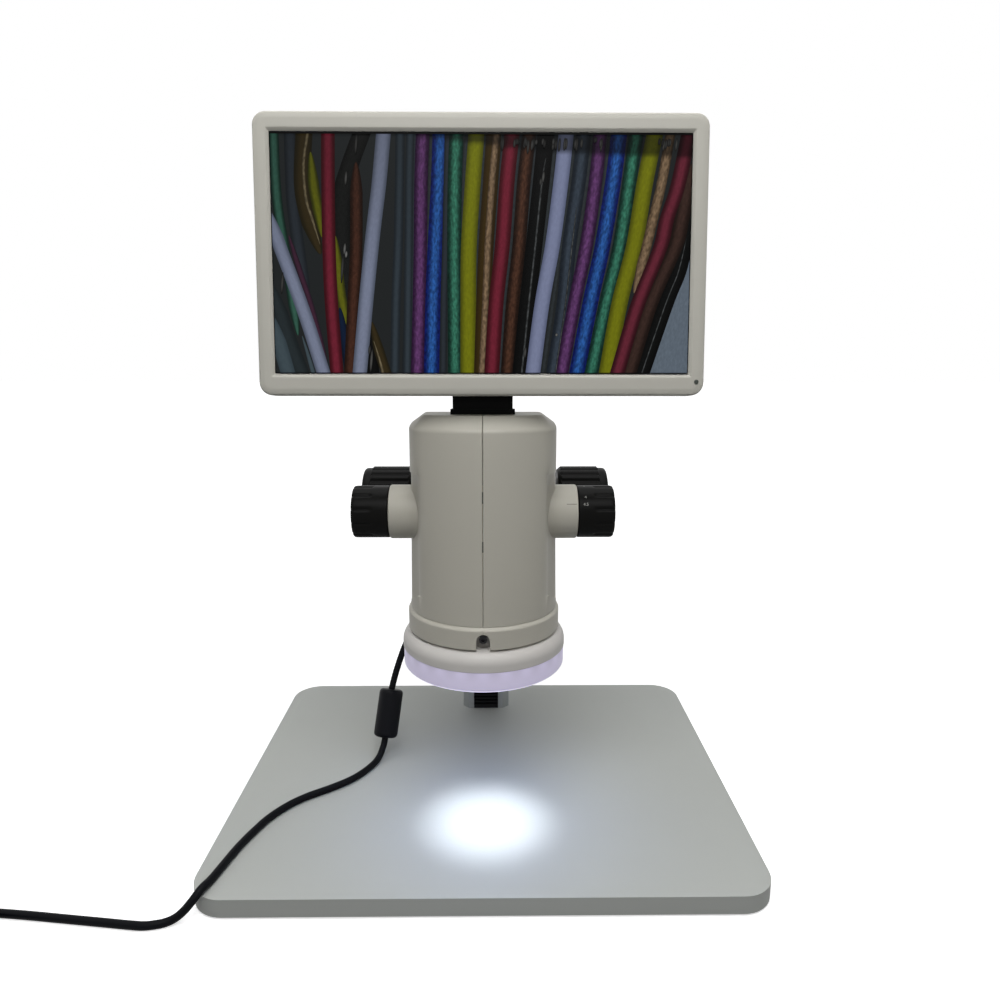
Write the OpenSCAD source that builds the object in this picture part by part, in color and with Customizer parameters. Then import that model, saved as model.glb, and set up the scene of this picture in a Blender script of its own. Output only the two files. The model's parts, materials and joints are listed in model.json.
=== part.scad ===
// Zoom microscope with a tilting display, a ring light and a rack-and-pinion focusing stand.
// The origin is the middle of the footprint, on the surface that the feet rest on.
// +X is to the right of the person who looks at the display, +Y is away from them, +Z is up.

/* [Base] */
// Width of the base plate, left to right
base_w = 352; // [320:1:400]
// Depth of the base plate, front to back
base_d = 286; // [270:1:320]
// Thickness of the base plate
base_t = 13; // [11:0.5:18]
// Corner radius of the base plate
base_r = 22; // [14:1:34]
// Width of the gently sloped border round the top of the plate
border_w = 8; // [4:0.5:12]
// How far the sloped border drops at the edge
border_drop = 1; // [0.4:0.1:2]
// Diameter of the rubber feet
foot_d = 24; // [16:1:30]
// How far the feet hold the plate off the table
foot_h = 1.5; // [1:0.1:4]
// Depth of the pockets that hold the feet
foot_pocket = 2.5; // [1.5:0.1:4]
// Distance from the edges of the plate to the middle of a foot
foot_inset = 30; // [24:1:50]

/* [Column and rack] */
// Width of the aluminium column
column_w = 40; // [36:1:48]
// Depth of the aluminium column, front to back
column_d = 28; // [26:1:34]
// Height of the column above the base plate
column_h = 300; // [290:1:340]
// Chamfer on the four long edges of the column
column_chamfer = 5; // [2:0.5:6]
// Distance from the back of the column to the back edge of the base
column_rear_gap = 20; // [14:1:30]
// Width of the rack set into the front of the column
rack_w = 21; // [18:0.5:23]
// Depth of the slot that holds the rack
rack_slot = 8; // [6:0.5:9]
// Gear module of the rack and its pinion
gear_module = 1; // [0.8:0.1:1.2]
// Thickness of the cap on the column
cap_t = 4; // [2:0.5:8]

/* [Focusing] */
// Number of teeth on the focusing pinion
pinion_teeth = 18; // [16:1:22]
// Diameter of the focusing shaft
focus_shaft_d = 10; // [8:0.5:12]
// Height of the focusing shaft above the base plate
focus_rise = 191; // [180:1:205]
// Diameter of the focusing knobs
focus_knob_d = 55; // [46:1:60]
// Length of a focusing knob
focus_knob_l = 40; // [30:1:44]
// Distance from the middle to the outer end of a focusing knob
focus_reach = 98.5; // [92:0.5:106]
// Width of the focusing carriage
carriage_w = 64; // [56:1:70]
// Height of the focusing carriage
carriage_h = 100; // [90:1:110]
// Metal of the carriage in front of the column
carriage_front = 36; // [30:1:40]
// Metal of the carriage behind the column
carriage_back = 8; // [5:0.5:12]
// Sliding clearance between the carriage and the column
slide_gap = 0.3; // [0.2:0.05:0.5]
// Width of the arm that carries the head
arm_w = 44; // [36:1:46]

/* [Head] */
// Distance from the front of the column to the optical axis
throat = 164; // [156:1:176]
// Free height between the base plate and the ring light
ring_gap = 117; // [100:1:130]
// Half the width of the head housing
head_r = 46; // [45:0.5:49]
// Height of the head housing above its collar
head_h = 122; // [116:1:130]
// Distance from the optical axis to the back of the head
head_back = 61; // [56:1:66]
// Wall of the two head shells
shell_wall = 2.5; // [1.8:0.1:2.6]
// Width of the chamfer round the top of the head
top_chamfer = 8; // [5:0.5:9]
// Distance from the optical axis forward to the line where the roof starts to slope
ridge = 10.5; // [6:0.5:12]
// How much lower the roof is at the back
roof_drop = 17.5; // [12:0.5:20]
// Radius of the round collar at the bottom of the head
collar_r = 47.6; // [47:0.1:50]
// Height of the collar
collar_h = 14.5; // [12:0.5:16]
// Width of the arched notch in the collar
notch_w = 8; // [6:0.5:9]
// Depth of the shallow recess in each side of the head
recess_t = 1.2; // [0.6:0.1:1.4]

/* [Ring light] */
// Outer radius of the ring light
ring_r = 51.5; // [50:0.5:56]
// Height of the ring light housing
housing_h = 11.7; // [11:0.1:14]
// Height of the translucent diffuser
diffuser_h = 12.8; // [10:0.1:16]
// Inner radius of the ring light, which clamps round the neck
neck_r = 34; // [33.5:0.1:34.5]
// Number of light-emitting diodes
led_count = 24; // [12:2:36]

/* [Zoom] */
// Height of the zoom knobs above the collar
zoom_rise = 59; // [56:1:64]
// Diameter of the fixed boss behind each zoom knob
boss_d = 33.5; // [30:0.5:36]
// Distance from the middle to the outer face of a boss
boss_reach = 57.7; // [54:0.1:60]
// Diameter of the zoom knobs
zoom_knob_d = 32.4; // [28:0.2:35]
// Distance from the middle to the outer face of a zoom knob
zoom_reach = 80.2; // [76:0.1:86]
// Diameter of the zoom shafts
zoom_shaft_d = 6; // [5:0.5:7]
// Inner radius of the rotating zoom drum
drum_r = 20; // [19:0.5:20.5]
// Radius of the thread for an extra lens at the bottom of the objective
aux_thread_r = 24; // [22.5:0.1:24.4]
// Length of that thread
aux_thread_l = 7; // [5:0.5:8]

/* [Display] */
// Width of the picture area
screen_w = 222.7; // [200:0.1:230]
// Height of the picture area
screen_h = 125.3; // [112:0.1:130]
// Frame beside the picture
frame_side = 9; // [8:0.5:12]
// Frame above the picture
frame_top = 10.5; // [8:0.5:13]
// Frame below the picture
frame_bottom = 11.7; // [8:0.1:14]
// Corner radius of the display
display_r = 7; // [5:0.5:9]
// Width of the bevel round the front of the display
display_bevel = 2.2; // [1:0.1:2.6]
// Bevel between the frame and the picture
lip_bevel = 2; // [1:0.1:2.5]
// How far the picture lies behind the front of the frame
lip_t = 1.5; // [1:0.1:2.2]
// Thickness of the display at its rim
rim_t = 12; // [11.5:0.5:15]
// Depth of the raised housing on the back of the display
bump_t = 11.5; // [10.5:0.5:12.5]
// Backward tilt of the display at rest
display_tilt = 6; // [4:1:10]
// Height of the middle of the picture above the top of the head
display_rise = 86; // [84:1:92]
// Distance from the optical axis forward to the middle of the picture
display_forward = 40.5; // [39:0.5:44]
// Width of the display bracket
bracket_w = 34.3; // [30:0.1:38]
// Diameter of the display hinge pin
hinge_pin_d = 6; // [4:0.5:7]
// Number of buttons on the back of the display
button_count = 5; // [5:1:5]

/* [Cord] */
// Diameter of the cord
cord_d = 5; // [4.6:0.1:5.4]
// Diameter of the ferrite bead
ferrite_d = 18.4; // [16:0.2:20]
// Outer radius of the coil of spare cord
coil_r = 34.5; // [33:0.5:38]
// Inner radius of the coil of spare cord
coil_hole_r = 18.5; // [17:0.5:20]
// Height of the coil of spare cord
coil_h = 10.4; // [10:0.1:12]

/* [Hidden] */
$fn = 96;

// Small numbers that several pieces share
eps = 0.01;
fit = 0.05;             // radial clearance of a shaft in its bearing
seat_gap = 0.1;         // clearance of a piece that sits in a pocket
turn_gap = 0.3;         // gap between faces that pass each other
pitch = PI * gear_module;

// Levels
plate_z = foot_h + base_t;
ring_z = plate_z + ring_gap;
housing_z = ring_z + diffuser_h;
collar_z = housing_z + housing_h;
head_z = collar_z + collar_h;
roof_z = head_z + head_h;
zoom_z = head_z + zoom_rise;
focus_z = plate_z + focus_rise;

// Places along Y
column_y = base_d / 2 - column_rear_gap - column_d;
column_back_y = column_y + column_d;
axis_y = column_y - throat;
back_y = axis_y + head_back;

// Rack and pinion
pinion_r = pinion_teeth * gear_module / 2;
rack_line_y = column_y - gear_module;
pinion_y = rack_line_y - pinion_r;
backlash = 0.25;

// ---------------------------------------------------------------- helpers

// A flat outline with round corners, about the origin
module round_plate(w, h, r) {
    square([w - 2 * r, h], center = true);
    square([w, h - 2 * r], center = true);
    for (x = [-1, 1], y = [-1, 1])
        translate([x * (w / 2 - r), y * (h / 2 - r)]) circle(r);
}

// Extrudes an outline drawn in X and Z, from y0 to y1
module upright(y0, y1) {
    translate([0, y1, 0]) rotate([90, 0, 0]) linear_extrude(y1 - y0) children();
}

// Extrudes an outline drawn in Y and Z, from x0 to x1
module sideways(x0, x1) {
    translate([x0, 0, 0]) rotate([90, 0, 90]) linear_extrude(x1 - x0) children();
}

module rod_x(r, x0, x1) { translate([x0, 0, 0]) rotate([0, 90, 0]) cylinder(r = r, h = x1 - x0); }
module rod_y(r, y0, y1) { translate([0, y1, 0]) rotate([90, 0, 0]) cylinder(r = r, h = y1 - y0); }
module rod_z(r, z0, z1) { translate([0, 0, z0]) cylinder(r = r, h = z1 - z0); }
module tube_z(r, hole, z0, z1) {
    difference() {
        rod_z(r, z0, z1);
        rod_z(hole, z0 - 1, z1 + 1);
    }
}
module box(x0, x1, y0, y1, z0, z1) { translate([x0, y0, z0]) cube([x1 - x0, y1 - y0, z1 - z0]); }

// Copies a piece to the left side when side is -1
module on_side(side) { mirror([side < 0 ? 1 : 0, 0, 0]) children(); }

// A cap screw along -Z, its head resting on z = 0
module cap_screw(d, length, head_d = 0, head_t = 0) {
    wide = head_d > 0 ? head_d : 1.7 * d;
    tall = head_t > 0 ? head_t : 0.6 * d;
    difference() {
        union() {
            rod_z(wide / 2, 0, tall);
            rod_z(d / 2, -length, eps);
        }
        translate([0, 0, tall / 2]) cylinder(r = d * 0.33, h = tall, $fn = 6);
    }
}

// A bar about the Z axis with count ribs of radius r from z0 to z1
module ribs(r, depth, count, z0, z1) {
    step = 360 / count;
    translate([0, 0, z0]) linear_extrude(z1 - z0) polygon([
        for (i = [0:count - 1])
            for (p = [[0.08, r - depth], [0.22, r], [0.5, r], [0.78, r], [0.92, r - depth]])
                p[1] * [cos((i + p[0]) * step), sin((i + p[0]) * step)]]);
}

// One flank of an involute tooth, from the root to the tip, for a pitch radius and a base radius
function involute_angle(r, base) = r <= base ? 0
    : tan(acos(base / r)) * 180 / PI - acos(base / r);
function gear_outline(teeth, m, slack) = let(
    rp = teeth * m / 2,
    base = rp * cos(20),
    root = rp - 1.25 * m,
    tip = rp + m,
    half = 90 / teeth - slack / rp * 90 / PI + involute_angle(rp, base),
    radii = [base, base + (tip - base) * 0.35, base + (tip - base) * 0.7, tip])
    [for (i = [0:teeth - 1]) let(mid = i * 360 / teeth) each concat(
        [root * [cos(mid - half), sin(mid - half)]],
        [for (r = radii) let(a = mid - half + involute_angle(r, base)) r * [cos(a), sin(a)]],
        [for (k = [3:-1:0]) let(r = radii[k], a = mid + half - involute_angle(r, base))
            r * [cos(a), sin(a)]],
        [root * [cos(mid + half), sin(mid + half)]])];

// ---------------------------------------------------------------- stand

// The plate: crossed bars with a sloped border, and a turned corner at each end
module plate_bar(w, l) {
    edge = plate_z - border_drop;
    upright(-l / 2, l / 2) polygon([[-w / 2, foot_h], [w / 2, foot_h], [w / 2, edge],
        [w / 2 - border_w, plate_z], [-w / 2 + border_w, plate_z], [-w / 2, edge]]);
}
foot_places = [for (x = [-1, 1], y = [-1, 1])
    [x * (base_w / 2 - foot_inset), y * (base_d / 2 - foot_inset)]];
column_screw_d = 6;
column_screw_places = [[-column_w / 4, column_back_y - 8], [column_w / 4, column_back_y - 8],
    [0, column_y + rack_slot + 6]];
column_grip = 14;       // how far the column screws reach into the column
screw_sink = 5;         // depth of the counterbores under the plate

module base_plate() {
    color([0.66, 0.67, 0.64]) difference() {
        union() {
            plate_bar(base_w, base_d - 2 * base_r);
            rotate([0, 0, 90]) plate_bar(base_d, base_w - 2 * base_r);
            for (x = [-1, 1], y = [-1, 1])
                translate([x * (base_w / 2 - base_r), y * (base_d / 2 - base_r), 0])
                    rotate_extrude() polygon([[0, foot_h], [base_r, foot_h],
                        [base_r, plate_z - border_drop], [base_r - border_w, plate_z], [0, plate_z]]);
        }
        for (p = foot_places)
            translate(p) rod_z(foot_d / 2 + seat_gap, foot_h - 1, foot_h + foot_pocket);
        for (p = column_screw_places) translate(p) {
            rod_z(column_screw_d / 2 + seat_gap, foot_h - 1, plate_z + 1);
            rod_z(column_screw_d, foot_h - 1, foot_h + screw_sink);
        }
    }
}

module rubber_feet() {
    color([0.12, 0.12, 0.12])
        for (p = foot_places) translate(p) rod_z(foot_d / 2, 0, foot_h + foot_pocket);
}

module chamfered_plan(w, d, c) {
    polygon([[-w / 2 + c, 0], [w / 2 - c, 0], [w / 2, c], [w / 2, d - c],
        [w / 2 - c, d], [-w / 2 + c, d], [-w / 2, d - c], [-w / 2, c]]);
}

column_top = plate_z + column_h;
cap_screw_d = 4;
cap_screw_place = [0, column_back_y - 9];
module column() {
    color([0.75, 0.76, 0.77]) difference() {
        translate([0, column_y, plate_z]) linear_extrude(column_h)
            chamfered_plan(column_w, column_d, column_chamfer);
        box(-rack_w / 2 - seat_gap, rack_w / 2 + seat_gap, column_y - 1, column_y + rack_slot,
            plate_z - 1, column_top + 1);
        for (p = column_screw_places)
            translate(p) rod_z(column_screw_d / 2 + seat_gap, plate_z - 1, plate_z + column_grip + 1);
        translate(cap_screw_place) rod_z(cap_screw_d / 2 + seat_gap, column_top - 11, column_top + 1);
    }
}

// The rack's teeth are counted from the height of the pinion, so that the two mesh
module rack() {
    z0 = plate_z;
    z1 = column_top;
    low = ceil((z0 + 1 - focus_z) / pitch);
    high = floor((z1 - 1 - focus_z) / pitch) - 1;
    tip = rack_line_y - gear_module;
    root = rack_line_y + 1.2 * gear_module;
    tip_half = pitch / 4 - backlash / 2 - tan(20) * gear_module;
    root_half = pitch / 4 - backlash / 2 + tan(20) * 1.2 * gear_module;
    color([0.16, 0.16, 0.17]) sideways(-rack_w / 2, rack_w / 2) polygon(concat(
        [[root, z0]],
        [for (k = [low:high]) let(z = focus_z + (k + 0.5) * pitch)
            each [[root, z - root_half], [tip, z - tip_half], [tip, z + tip_half], [root, z + root_half]]],
        [[root, z1], [column_y + rack_slot, z1], [column_y + rack_slot, z0]]));
}

module column_cap() {
    color([0.14, 0.14, 0.15]) difference() {
        translate([0, column_y - 1, column_top]) linear_extrude(cap_t)
            chamfered_plan(column_w + 2, column_d + 2, column_chamfer);
        translate(cap_screw_place)
            rod_z(cap_screw_d / 2 + seat_gap, column_top - 1, column_top + cap_t + 1);
    }
}

module column_screws() {
    color([0.3, 0.3, 0.31]) {
        for (p = column_screw_places)
            translate([p[0], p[1], foot_h + screw_sink]) mirror([0, 0, 1])
                cap_screw(column_screw_d, base_t - screw_sink + column_grip);
        translate([cap_screw_place[0], cap_screw_place[1], column_top + cap_t])
            cap_screw(cap_screw_d, cap_t + 9);
    }
}

// ---------------------------------------------------------------- focusing

carriage_z0 = focus_z - carriage_h / 2;
carriage_z1 = focus_z + carriage_h / 2;
carriage_y0 = column_y - carriage_front;
carriage_y1 = column_back_y + carriage_back;
channel_half = column_w / 2 + slide_gap;
pinion_w = rack_w - 4;
bearing_r = 18;
bearing_reach = focus_reach - focus_knob_l - 2;
gib_t = 2.4;
gib_w = 12;
gib_l = carriage_h - 12;
gib_y = (column_y + column_back_y) / 2 + 2;
gib_screw_places = [for (k = [-1, 0, 1]) focus_z + k * (gib_l / 2 - 8)];
gib_x = column_w / 2 + 2 * fit;     // inner face of the gib strip, against the column
gib_screw_d = 5;

flange_w = carriage_w - 2;
flange_t = 6;
flange_z0 = carriage_z0 + 4.5;
flange_z1 = carriage_z1 - 3.5;
arm_screw_d = 5;
arm_screw_l = 14;
flange_places = [for (x = [-1, 1], z = [flange_z0 + 8, flange_z1 - 8])
    [x * (arm_w / 2 + 4.5), z]];

module focus_carriage() {
    color([0.80, 0.79, 0.74]) difference() {
        union() {
            translate([0, carriage_y0, carriage_z0]) linear_extrude(carriage_h)
                chamfered_plan(carriage_w, carriage_y1 - carriage_y0, 3);
            translate([0, pinion_y, focus_z]) rod_x(bearing_r, -bearing_reach, bearing_reach);
        }
        box(-channel_half, channel_half, column_y - slide_gap, column_back_y + slide_gap,
            carriage_z0 - 1, carriage_z1 + 1);
        box(-rack_w / 2 - turn_gap, rack_w / 2 + turn_gap,
            rack_line_y - gear_module - turn_gap, column_y, carriage_z0 - 1, carriage_z1 + 1);
        translate([0, pinion_y, focus_z]) {
            rod_x(pinion_r + gear_module + turn_gap, -pinion_w / 2 - turn_gap, pinion_w / 2 + turn_gap);
            rod_x(focus_shaft_d / 2 + fit, -bearing_reach - 1, bearing_reach + 1);
        }
        box(-gib_x - gib_t - 2 * fit, -channel_half + 1, gib_y - gib_w / 2 - fit, gib_y + gib_w / 2 + fit,
            focus_z - gib_l / 2 - fit, focus_z + gib_l / 2 + fit);
        for (z = gib_screw_places)
            translate([0, gib_y, z]) rod_x(gib_screw_d / 2 + seat_gap, -carriage_w / 2 - 1, -gib_x);
        for (p = flange_places) translate([p[0], carriage_y0, p[1]])
            rod_y(arm_screw_d / 2 + seat_gap, -1, arm_screw_l - flange_t + 1);
    }
}

module gib_strip() {
    color([0.75, 0.62, 0.32])
        box(-gib_x - gib_t, -gib_x, gib_y - gib_w / 2, gib_y + gib_w / 2,
            focus_z - gib_l / 2, focus_z + gib_l / 2);
}

module gib_screws() {
    color([0.2, 0.2, 0.2]) for (z = gib_screw_places) translate([0, gib_y, z]) difference() {
        rod_x(gib_screw_d / 2, -carriage_w / 2 + 0.5, -gib_x - gib_t);
        translate([-carriage_w / 2, 0, 0]) rotate([0, 90, 0])
            cylinder(r = gib_screw_d * 0.28, h = 3, $fn = 6);
    }
}

// The arm's outline in Y and Z, from the carriage to the back plate inside the head
arm_front_y = back_y - shell_wall;
arm_low = head_z + 14.5;
arm_high = head_z + 84.5;
arm_front_places = [for (x = [-1, 1], z = [arm_low + 11, arm_high - 11]) [x * (arm_w / 2 - 8), z]];
back_plate_t = 6;
module head_arm() {
    color([0.80, 0.79, 0.74]) difference() {
        union() {
            sideways(-arm_w / 2, arm_w / 2) polygon([[arm_front_y, arm_low], [arm_front_y, arm_high],
                [back_y + 6, arm_high], [carriage_y0 - flange_t, flange_z1 - 2],
                [carriage_y0, flange_z1 - 2], [carriage_y0, flange_z0 + 2],
                [carriage_y0 - flange_t, flange_z0 + 2], [back_y + 6, arm_low]]);
            box(-flange_w / 2, flange_w / 2, carriage_y0 - flange_t, carriage_y0, flange_z0, flange_z1);
        }
        for (p = flange_places) translate([p[0], 0, p[1]])
            rod_y(arm_screw_d / 2 + seat_gap, carriage_y0 - flange_t - 1, carriage_y0 + 1);
        for (p = arm_front_places) translate([p[0], 0, p[1]])
            rod_y(arm_screw_d / 2 + seat_gap, arm_front_y - 1,
                arm_front_y + arm_screw_l - back_plate_t + 1);
    }
}

module arm_screws() {
    color([0.2, 0.2, 0.2]) {
        for (p = flange_places) translate([p[0], carriage_y0 - flange_t, p[1]])
            rotate([90, 0, 0]) cap_screw(arm_screw_d, arm_screw_l, 8);
        for (p = arm_front_places) translate([p[0], arm_front_y - back_plate_t, p[1]])
            rotate([90, 0, 0]) cap_screw(arm_screw_d, arm_screw_l);
    }
}

// The shaft, its pinion and the two knobs turn about X
module focus_shaft() {
    color([0.7, 0.71, 0.72]) translate([0, pinion_y, focus_z]) {
        rod_x(focus_shaft_d / 2, -focus_reach + 12, focus_reach - 12);
        sideways(-pinion_w / 2, pinion_w / 2)
            polygon(gear_outline(pinion_teeth, gear_module, backlash));
    }
}

focus_ribs = 24;
module focus_knob(side) {
    r = focus_knob_d / 2;
    round_r = 5;
    color([0.06, 0.06, 0.065]) on_side(side) translate([focus_reach - focus_knob_l, pinion_y, focus_z])
        rotate([0, 90, 0]) difference() {
            union() {
                rotate_extrude() polygon(concat(
                    [[0, 0], [r - 3, 0], [r - 1.2, 1.2], [r - 1.2, focus_knob_l - round_r]],
                    [for (a = [15:15:90]) [r - 1.2 - round_r + round_r * cos(a),
                        focus_knob_l - round_r + round_r * sin(a)]],
                    [[0, focus_knob_l]]));
                ribs(r, 1.2, focus_ribs, 3, focus_knob_l - round_r - 2);
            }
            rod_z(focus_shaft_d / 2, -1, focus_knob_l - 12);
        }
}
module focus_knob_left() { focus_knob(-1); }
module focus_knob_right() { focus_knob(1); }

// ---------------------------------------------------------------- head

nose_w = head_r - 4.7;      // half the width of the flatter nose at the top of the head
nose_y = axis_y - 30;       // where the nose begins
nose_depth = head_r - 30;
corner = 6;                 // chamfer on the two back edges
ridge_y = axis_y - ridge;   // where the roof starts to slope

// The plan of the head near its top, drawn in by t
function nose(t, x) = nose_y - (nose_depth - t) * (1 - pow(abs(x) / (nose_w - t), 3.5));
function plan_top(t, z) = concat(
    [for (i = [-8:8]) let(x = (nose_w - t) * sin(i * 90 / 8)) [x, nose(t, x), z]],
    [[head_r - t, axis_y, z], [head_r - t, ridge_y, z], [t - head_r, ridge_y, z], [t - head_r, axis_y, z]]);
// The plan of the head at its bottom: a round front and straight sides
function plan_low(t, z) = concat(
    [for (i = [0:20]) let(a = 180 + i * 180 / 20)
        [(head_r - t) * cos(a), axis_y + (head_r - t) * sin(a), z]],
    [[head_r - t, back_y - t - corner, z], [head_r - t - corner, back_y - t, z],
    [t + corner - head_r, back_y - t, z], [t - head_r, back_y - t - corner, z]]);

// The head's outer form from height z0 up, drawn in by t all round
module head_form(t, z0) {
    slope = roof_drop / (head_back + ridge);
    shoulder = top_chamfer + t * (sqrt(2) - 1);
    shoulder_z = roof_z - t - shoulder;
    back_z = shoulder_z - roof_drop;
    inner_y = back_y - shoulder;
    low = plan_low(t, z0);
    side = plan_top(t, shoulder_z);
    top = plan_top(shoulder, roof_z - t);
    back = [[head_r - t, back_y - t - corner, back_z], [head_r - t - corner, back_y - t, back_z],
        [t + corner - head_r, back_y - t, back_z], [t - head_r, back_y - t - corner, back_z],
        [shoulder - head_r, inner_y, roof_z - t - slope * (inner_y - ridge_y)],
        [head_r - shoulder, inner_y, roof_z - t - slope * (inner_y - ridge_y)]];
    n = len(low);
    m = n + len(side);
    k = m + len(top);
    hull() polyhedron(concat(low, side, top, back), [
        [for (i = [0:n - 1]) i], [for (i = [n:m - 1]) i],
        [for (i = [m:k - 1]) i], [for (i = [k:k + 5]) i]]);
}

bore_r = head_r - shell_wall - 1;           // inside of the collar
recess_y0 = axis_y - 20.7;
recess_y1 = back_y - 12;
recess_z0 = head_z + 3;
recess_z1 = head_z + 88;
boss_r = boss_d / 2;
shell_screw_d = 4;
shell_screw_l = 9;
shell_screw_places = [for (x = [-1, 1], z = [head_z + 9.5, head_z + 88.5]) [x * (arm_w / 2 - 4), z]];
seam = 0.2;
notch_z = housing_z + housing_h + 6.5;      // height of the screw in the notch
socket_x = -31.5;
socket_z = head_z + 19.5;
socket_w = 9;
bracket_screw_d = 4;
bracket_screw_places = [for (x = [-1, 1]) [x * 9, axis_y - 20]];

module head_shell(side) {
    color([0.80, 0.79, 0.74]) difference() {
        union() {
            head_form(0, head_z);
            translate([0, axis_y, 0]) rotate_extrude() polygon([[0, collar_z], [collar_r, collar_z],
                [collar_r, head_z - 2], [collar_r - 2, head_z], [0, head_z]]);
        }
        head_form(shell_wall, head_z + shell_wall);
        translate([0, axis_y, 0]) rod_z(bore_r, collar_z - 1, head_z + shell_wall + 1);
        // the other half
        box(side > 0 ? -2 * head_r : -seam / 2, side > 0 ? seam / 2 : 2 * head_r,
            axis_y - 2 * head_r, back_y + 10, collar_z - 1, roof_z + 1);
        // the shallow recess in the side
        difference() {
            sideways(side > 0 ? head_r / 2 : -2 * head_r, side > 0 ? 2 * head_r : -head_r / 2)
                polygon([[recess_y0, recess_z0], [recess_y0, recess_z1], [recess_y1, recess_z1],
                    [recess_y1, recess_z0 + 8]]);
            head_form(recess_t, head_z);
        }
        translate([0, axis_y, zoom_z]) rod_x(boss_r + seat_gap, side > 0 ? 0 : -2 * head_r,
            side > 0 ? 2 * head_r : 0);
        // the opening for the arm, and the screws beside it
        box(-arm_w / 2 - turn_gap, arm_w / 2 + turn_gap, back_y - shell_wall - 1, back_y + 1,
            arm_low - turn_gap, arm_high + turn_gap);
        for (p = shell_screw_places) translate([p[0], 0, p[1]])
            rod_y(shell_screw_d / 2 + seat_gap, back_y - shell_wall - 1, back_y + 1);
        // the arched notch in the collar
        upright(axis_y - 2 * collar_r, axis_y) translate([0, notch_z]) {
            circle(notch_w / 2);
            translate([-notch_w / 2, -notch_w * 2]) square([notch_w, notch_w * 2]);
        }
        for (p = bracket_screw_places) translate([p[0], p[1], 0])
            rod_z(bracket_screw_d / 2 + seat_gap, roof_z - shell_wall - 2, roof_z + 1);
        if (side < 0)
            box(socket_x - socket_w / 2 - seat_gap, socket_x + socket_w / 2 + seat_gap,
                back_y - shell_wall - 1, back_y + 1,
                socket_z - socket_w / 2 - seat_gap, socket_z + socket_w / 2 + seat_gap);
    }
}
module head_shell_left() { head_shell(-1); }
module head_shell_right() { head_shell(1); }

module shell_screws() {
    color([0.25, 0.25, 0.26]) for (p = shell_screw_places)
        translate([p[0], back_y, p[1]]) rotate([-90, 0, 0]) cap_screw(shell_screw_d, shell_screw_l - eps);
}

// The frame inside the head
floor_z = head_z + shell_wall;
floor_t = 5;
floor_r = bore_r - 0.5;
neck_wall = 3;
neck_z = housing_z + 5.7;
crown_r = 26;               // pitch radius of the crown gear on the zoom drum
crown_teeth = 52;
zoom_pinion_teeth = 14;
zoom_module = 1;
zoom_pinion_r = zoom_pinion_teeth * zoom_module / 2;
zoom_face_w = 4;            // width of the crown gear's teeth
cheek_x = 31;               // inner face of the frame's two cheeks
cheek_t = 3;
plate_top_z = head_z + 92;
cheek_y0 = axis_y - 14;
cheek_z1 = head_z + 79.5;
bridge_y0 = axis_y - 33.5;
bridge_y1 = ridge_y - 0.5;
bridge_z = roof_z - shell_wall - seat_gap;
drum_out_r = drum_r + 3.5;
barrel_r = drum_r - fit;
barrel_bore = barrel_r - 2.4;
module chassis() {
    color([0.55, 0.56, 0.57]) difference() {
        union() {
            box(-cheek_x - cheek_t, cheek_x + cheek_t, arm_front_y - back_plate_t, arm_front_y,
                floor_z, plate_top_z);
            translate([0, axis_y, 0]) rod_z(floor_r, floor_z, floor_z + floor_t);
            box(-cheek_x - cheek_t, cheek_x + cheek_t, axis_y, arm_front_y, floor_z, floor_z + floor_t);
            translate([0, axis_y, 0]) rod_z(neck_r, neck_z, floor_z + eps);
            for (x = [-1, 1]) {
                on_side(x) box(cheek_x, cheek_x + cheek_t, cheek_y0, arm_front_y - eps, floor_z, cheek_z1);
                on_side(x) box(10, 18, bridge_y0, bridge_y0 + 6, floor_z + floor_t - eps, bridge_z);
            }
            box(-20, 20, bridge_y0, bridge_y1, bridge_z - 5, bridge_z);
        }
        translate([0, axis_y, 0]) {
            rod_z(neck_r - neck_wall, neck_z - 1, floor_z);
            rod_z(barrel_r + seat_gap, floor_z - 1, floor_z + floor_t + 1);
        }
        translate([0, axis_y, zoom_z])
            rod_x(zoom_shaft_d / 2 + fit, -cheek_x - cheek_t - 1, cheek_x + cheek_t + 1);
        for (p = arm_front_places) translate([p[0], 0, p[1]])
            rod_y(arm_screw_d / 2 + seat_gap, arm_front_y - back_plate_t - 1, arm_front_y + 1);
        for (p = shell_screw_places) translate([p[0], 0, p[1]])
            rod_y(shell_screw_d / 2 + seat_gap, back_y - shell_screw_l - 1, arm_front_y + 1);
        for (p = bracket_screw_places) translate([p[0], p[1], 0])
            rod_z(bracket_screw_d / 2 + seat_gap, bridge_z - 6, bridge_z + 1);
        box(socket_x - socket_w / 2 - 1, socket_x + socket_w / 2 + 1,
            back_y - socket_depth - 4, arm_front_y + 1,
            socket_z - socket_w / 2 - 1, socket_z + socket_w / 2 + 1);
    }
}

// The lens cell screwed into the neck, with the thread for an extra lens at its bottom
cell_z1 = floor_z;
cell_r = neck_r - neck_wall - seat_gap;
lens_r = aux_thread_r - 2;
lens_z0 = neck_z + aux_thread_l + 3;
lens_t = 8;
module objective_cell() {
    color([0.07, 0.07, 0.075]) translate([0, axis_y, 0]) difference() {
        rod_z(cell_r, neck_z, cell_z1);
        rod_z(aux_thread_r, neck_z - 1, neck_z + aux_thread_l);
        rod_z(lens_r - 2, neck_z, cell_z1 + 1);
        rod_z(lens_r + seat_gap, lens_z0, cell_z1 + 1);
    }
}
module lens(r, z0, z1, crown) {
    color([0.55, 0.62, 0.70]) translate([0, axis_y, 0]) rotate_extrude() polygon(concat(
        [[0, z0]],
        [for (i = [1:6]) [r * i / 6, z0 + crown * pow(i / 6, 2)]],
        [for (i = [6:-1:1]) [r * i / 6, z1 - crown * pow(i / 6, 2)]],
        [[0, z1]]));
}
module front_lens() { lens(lens_r, lens_z0, lens_z0 + lens_t, 1.5); }

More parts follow.
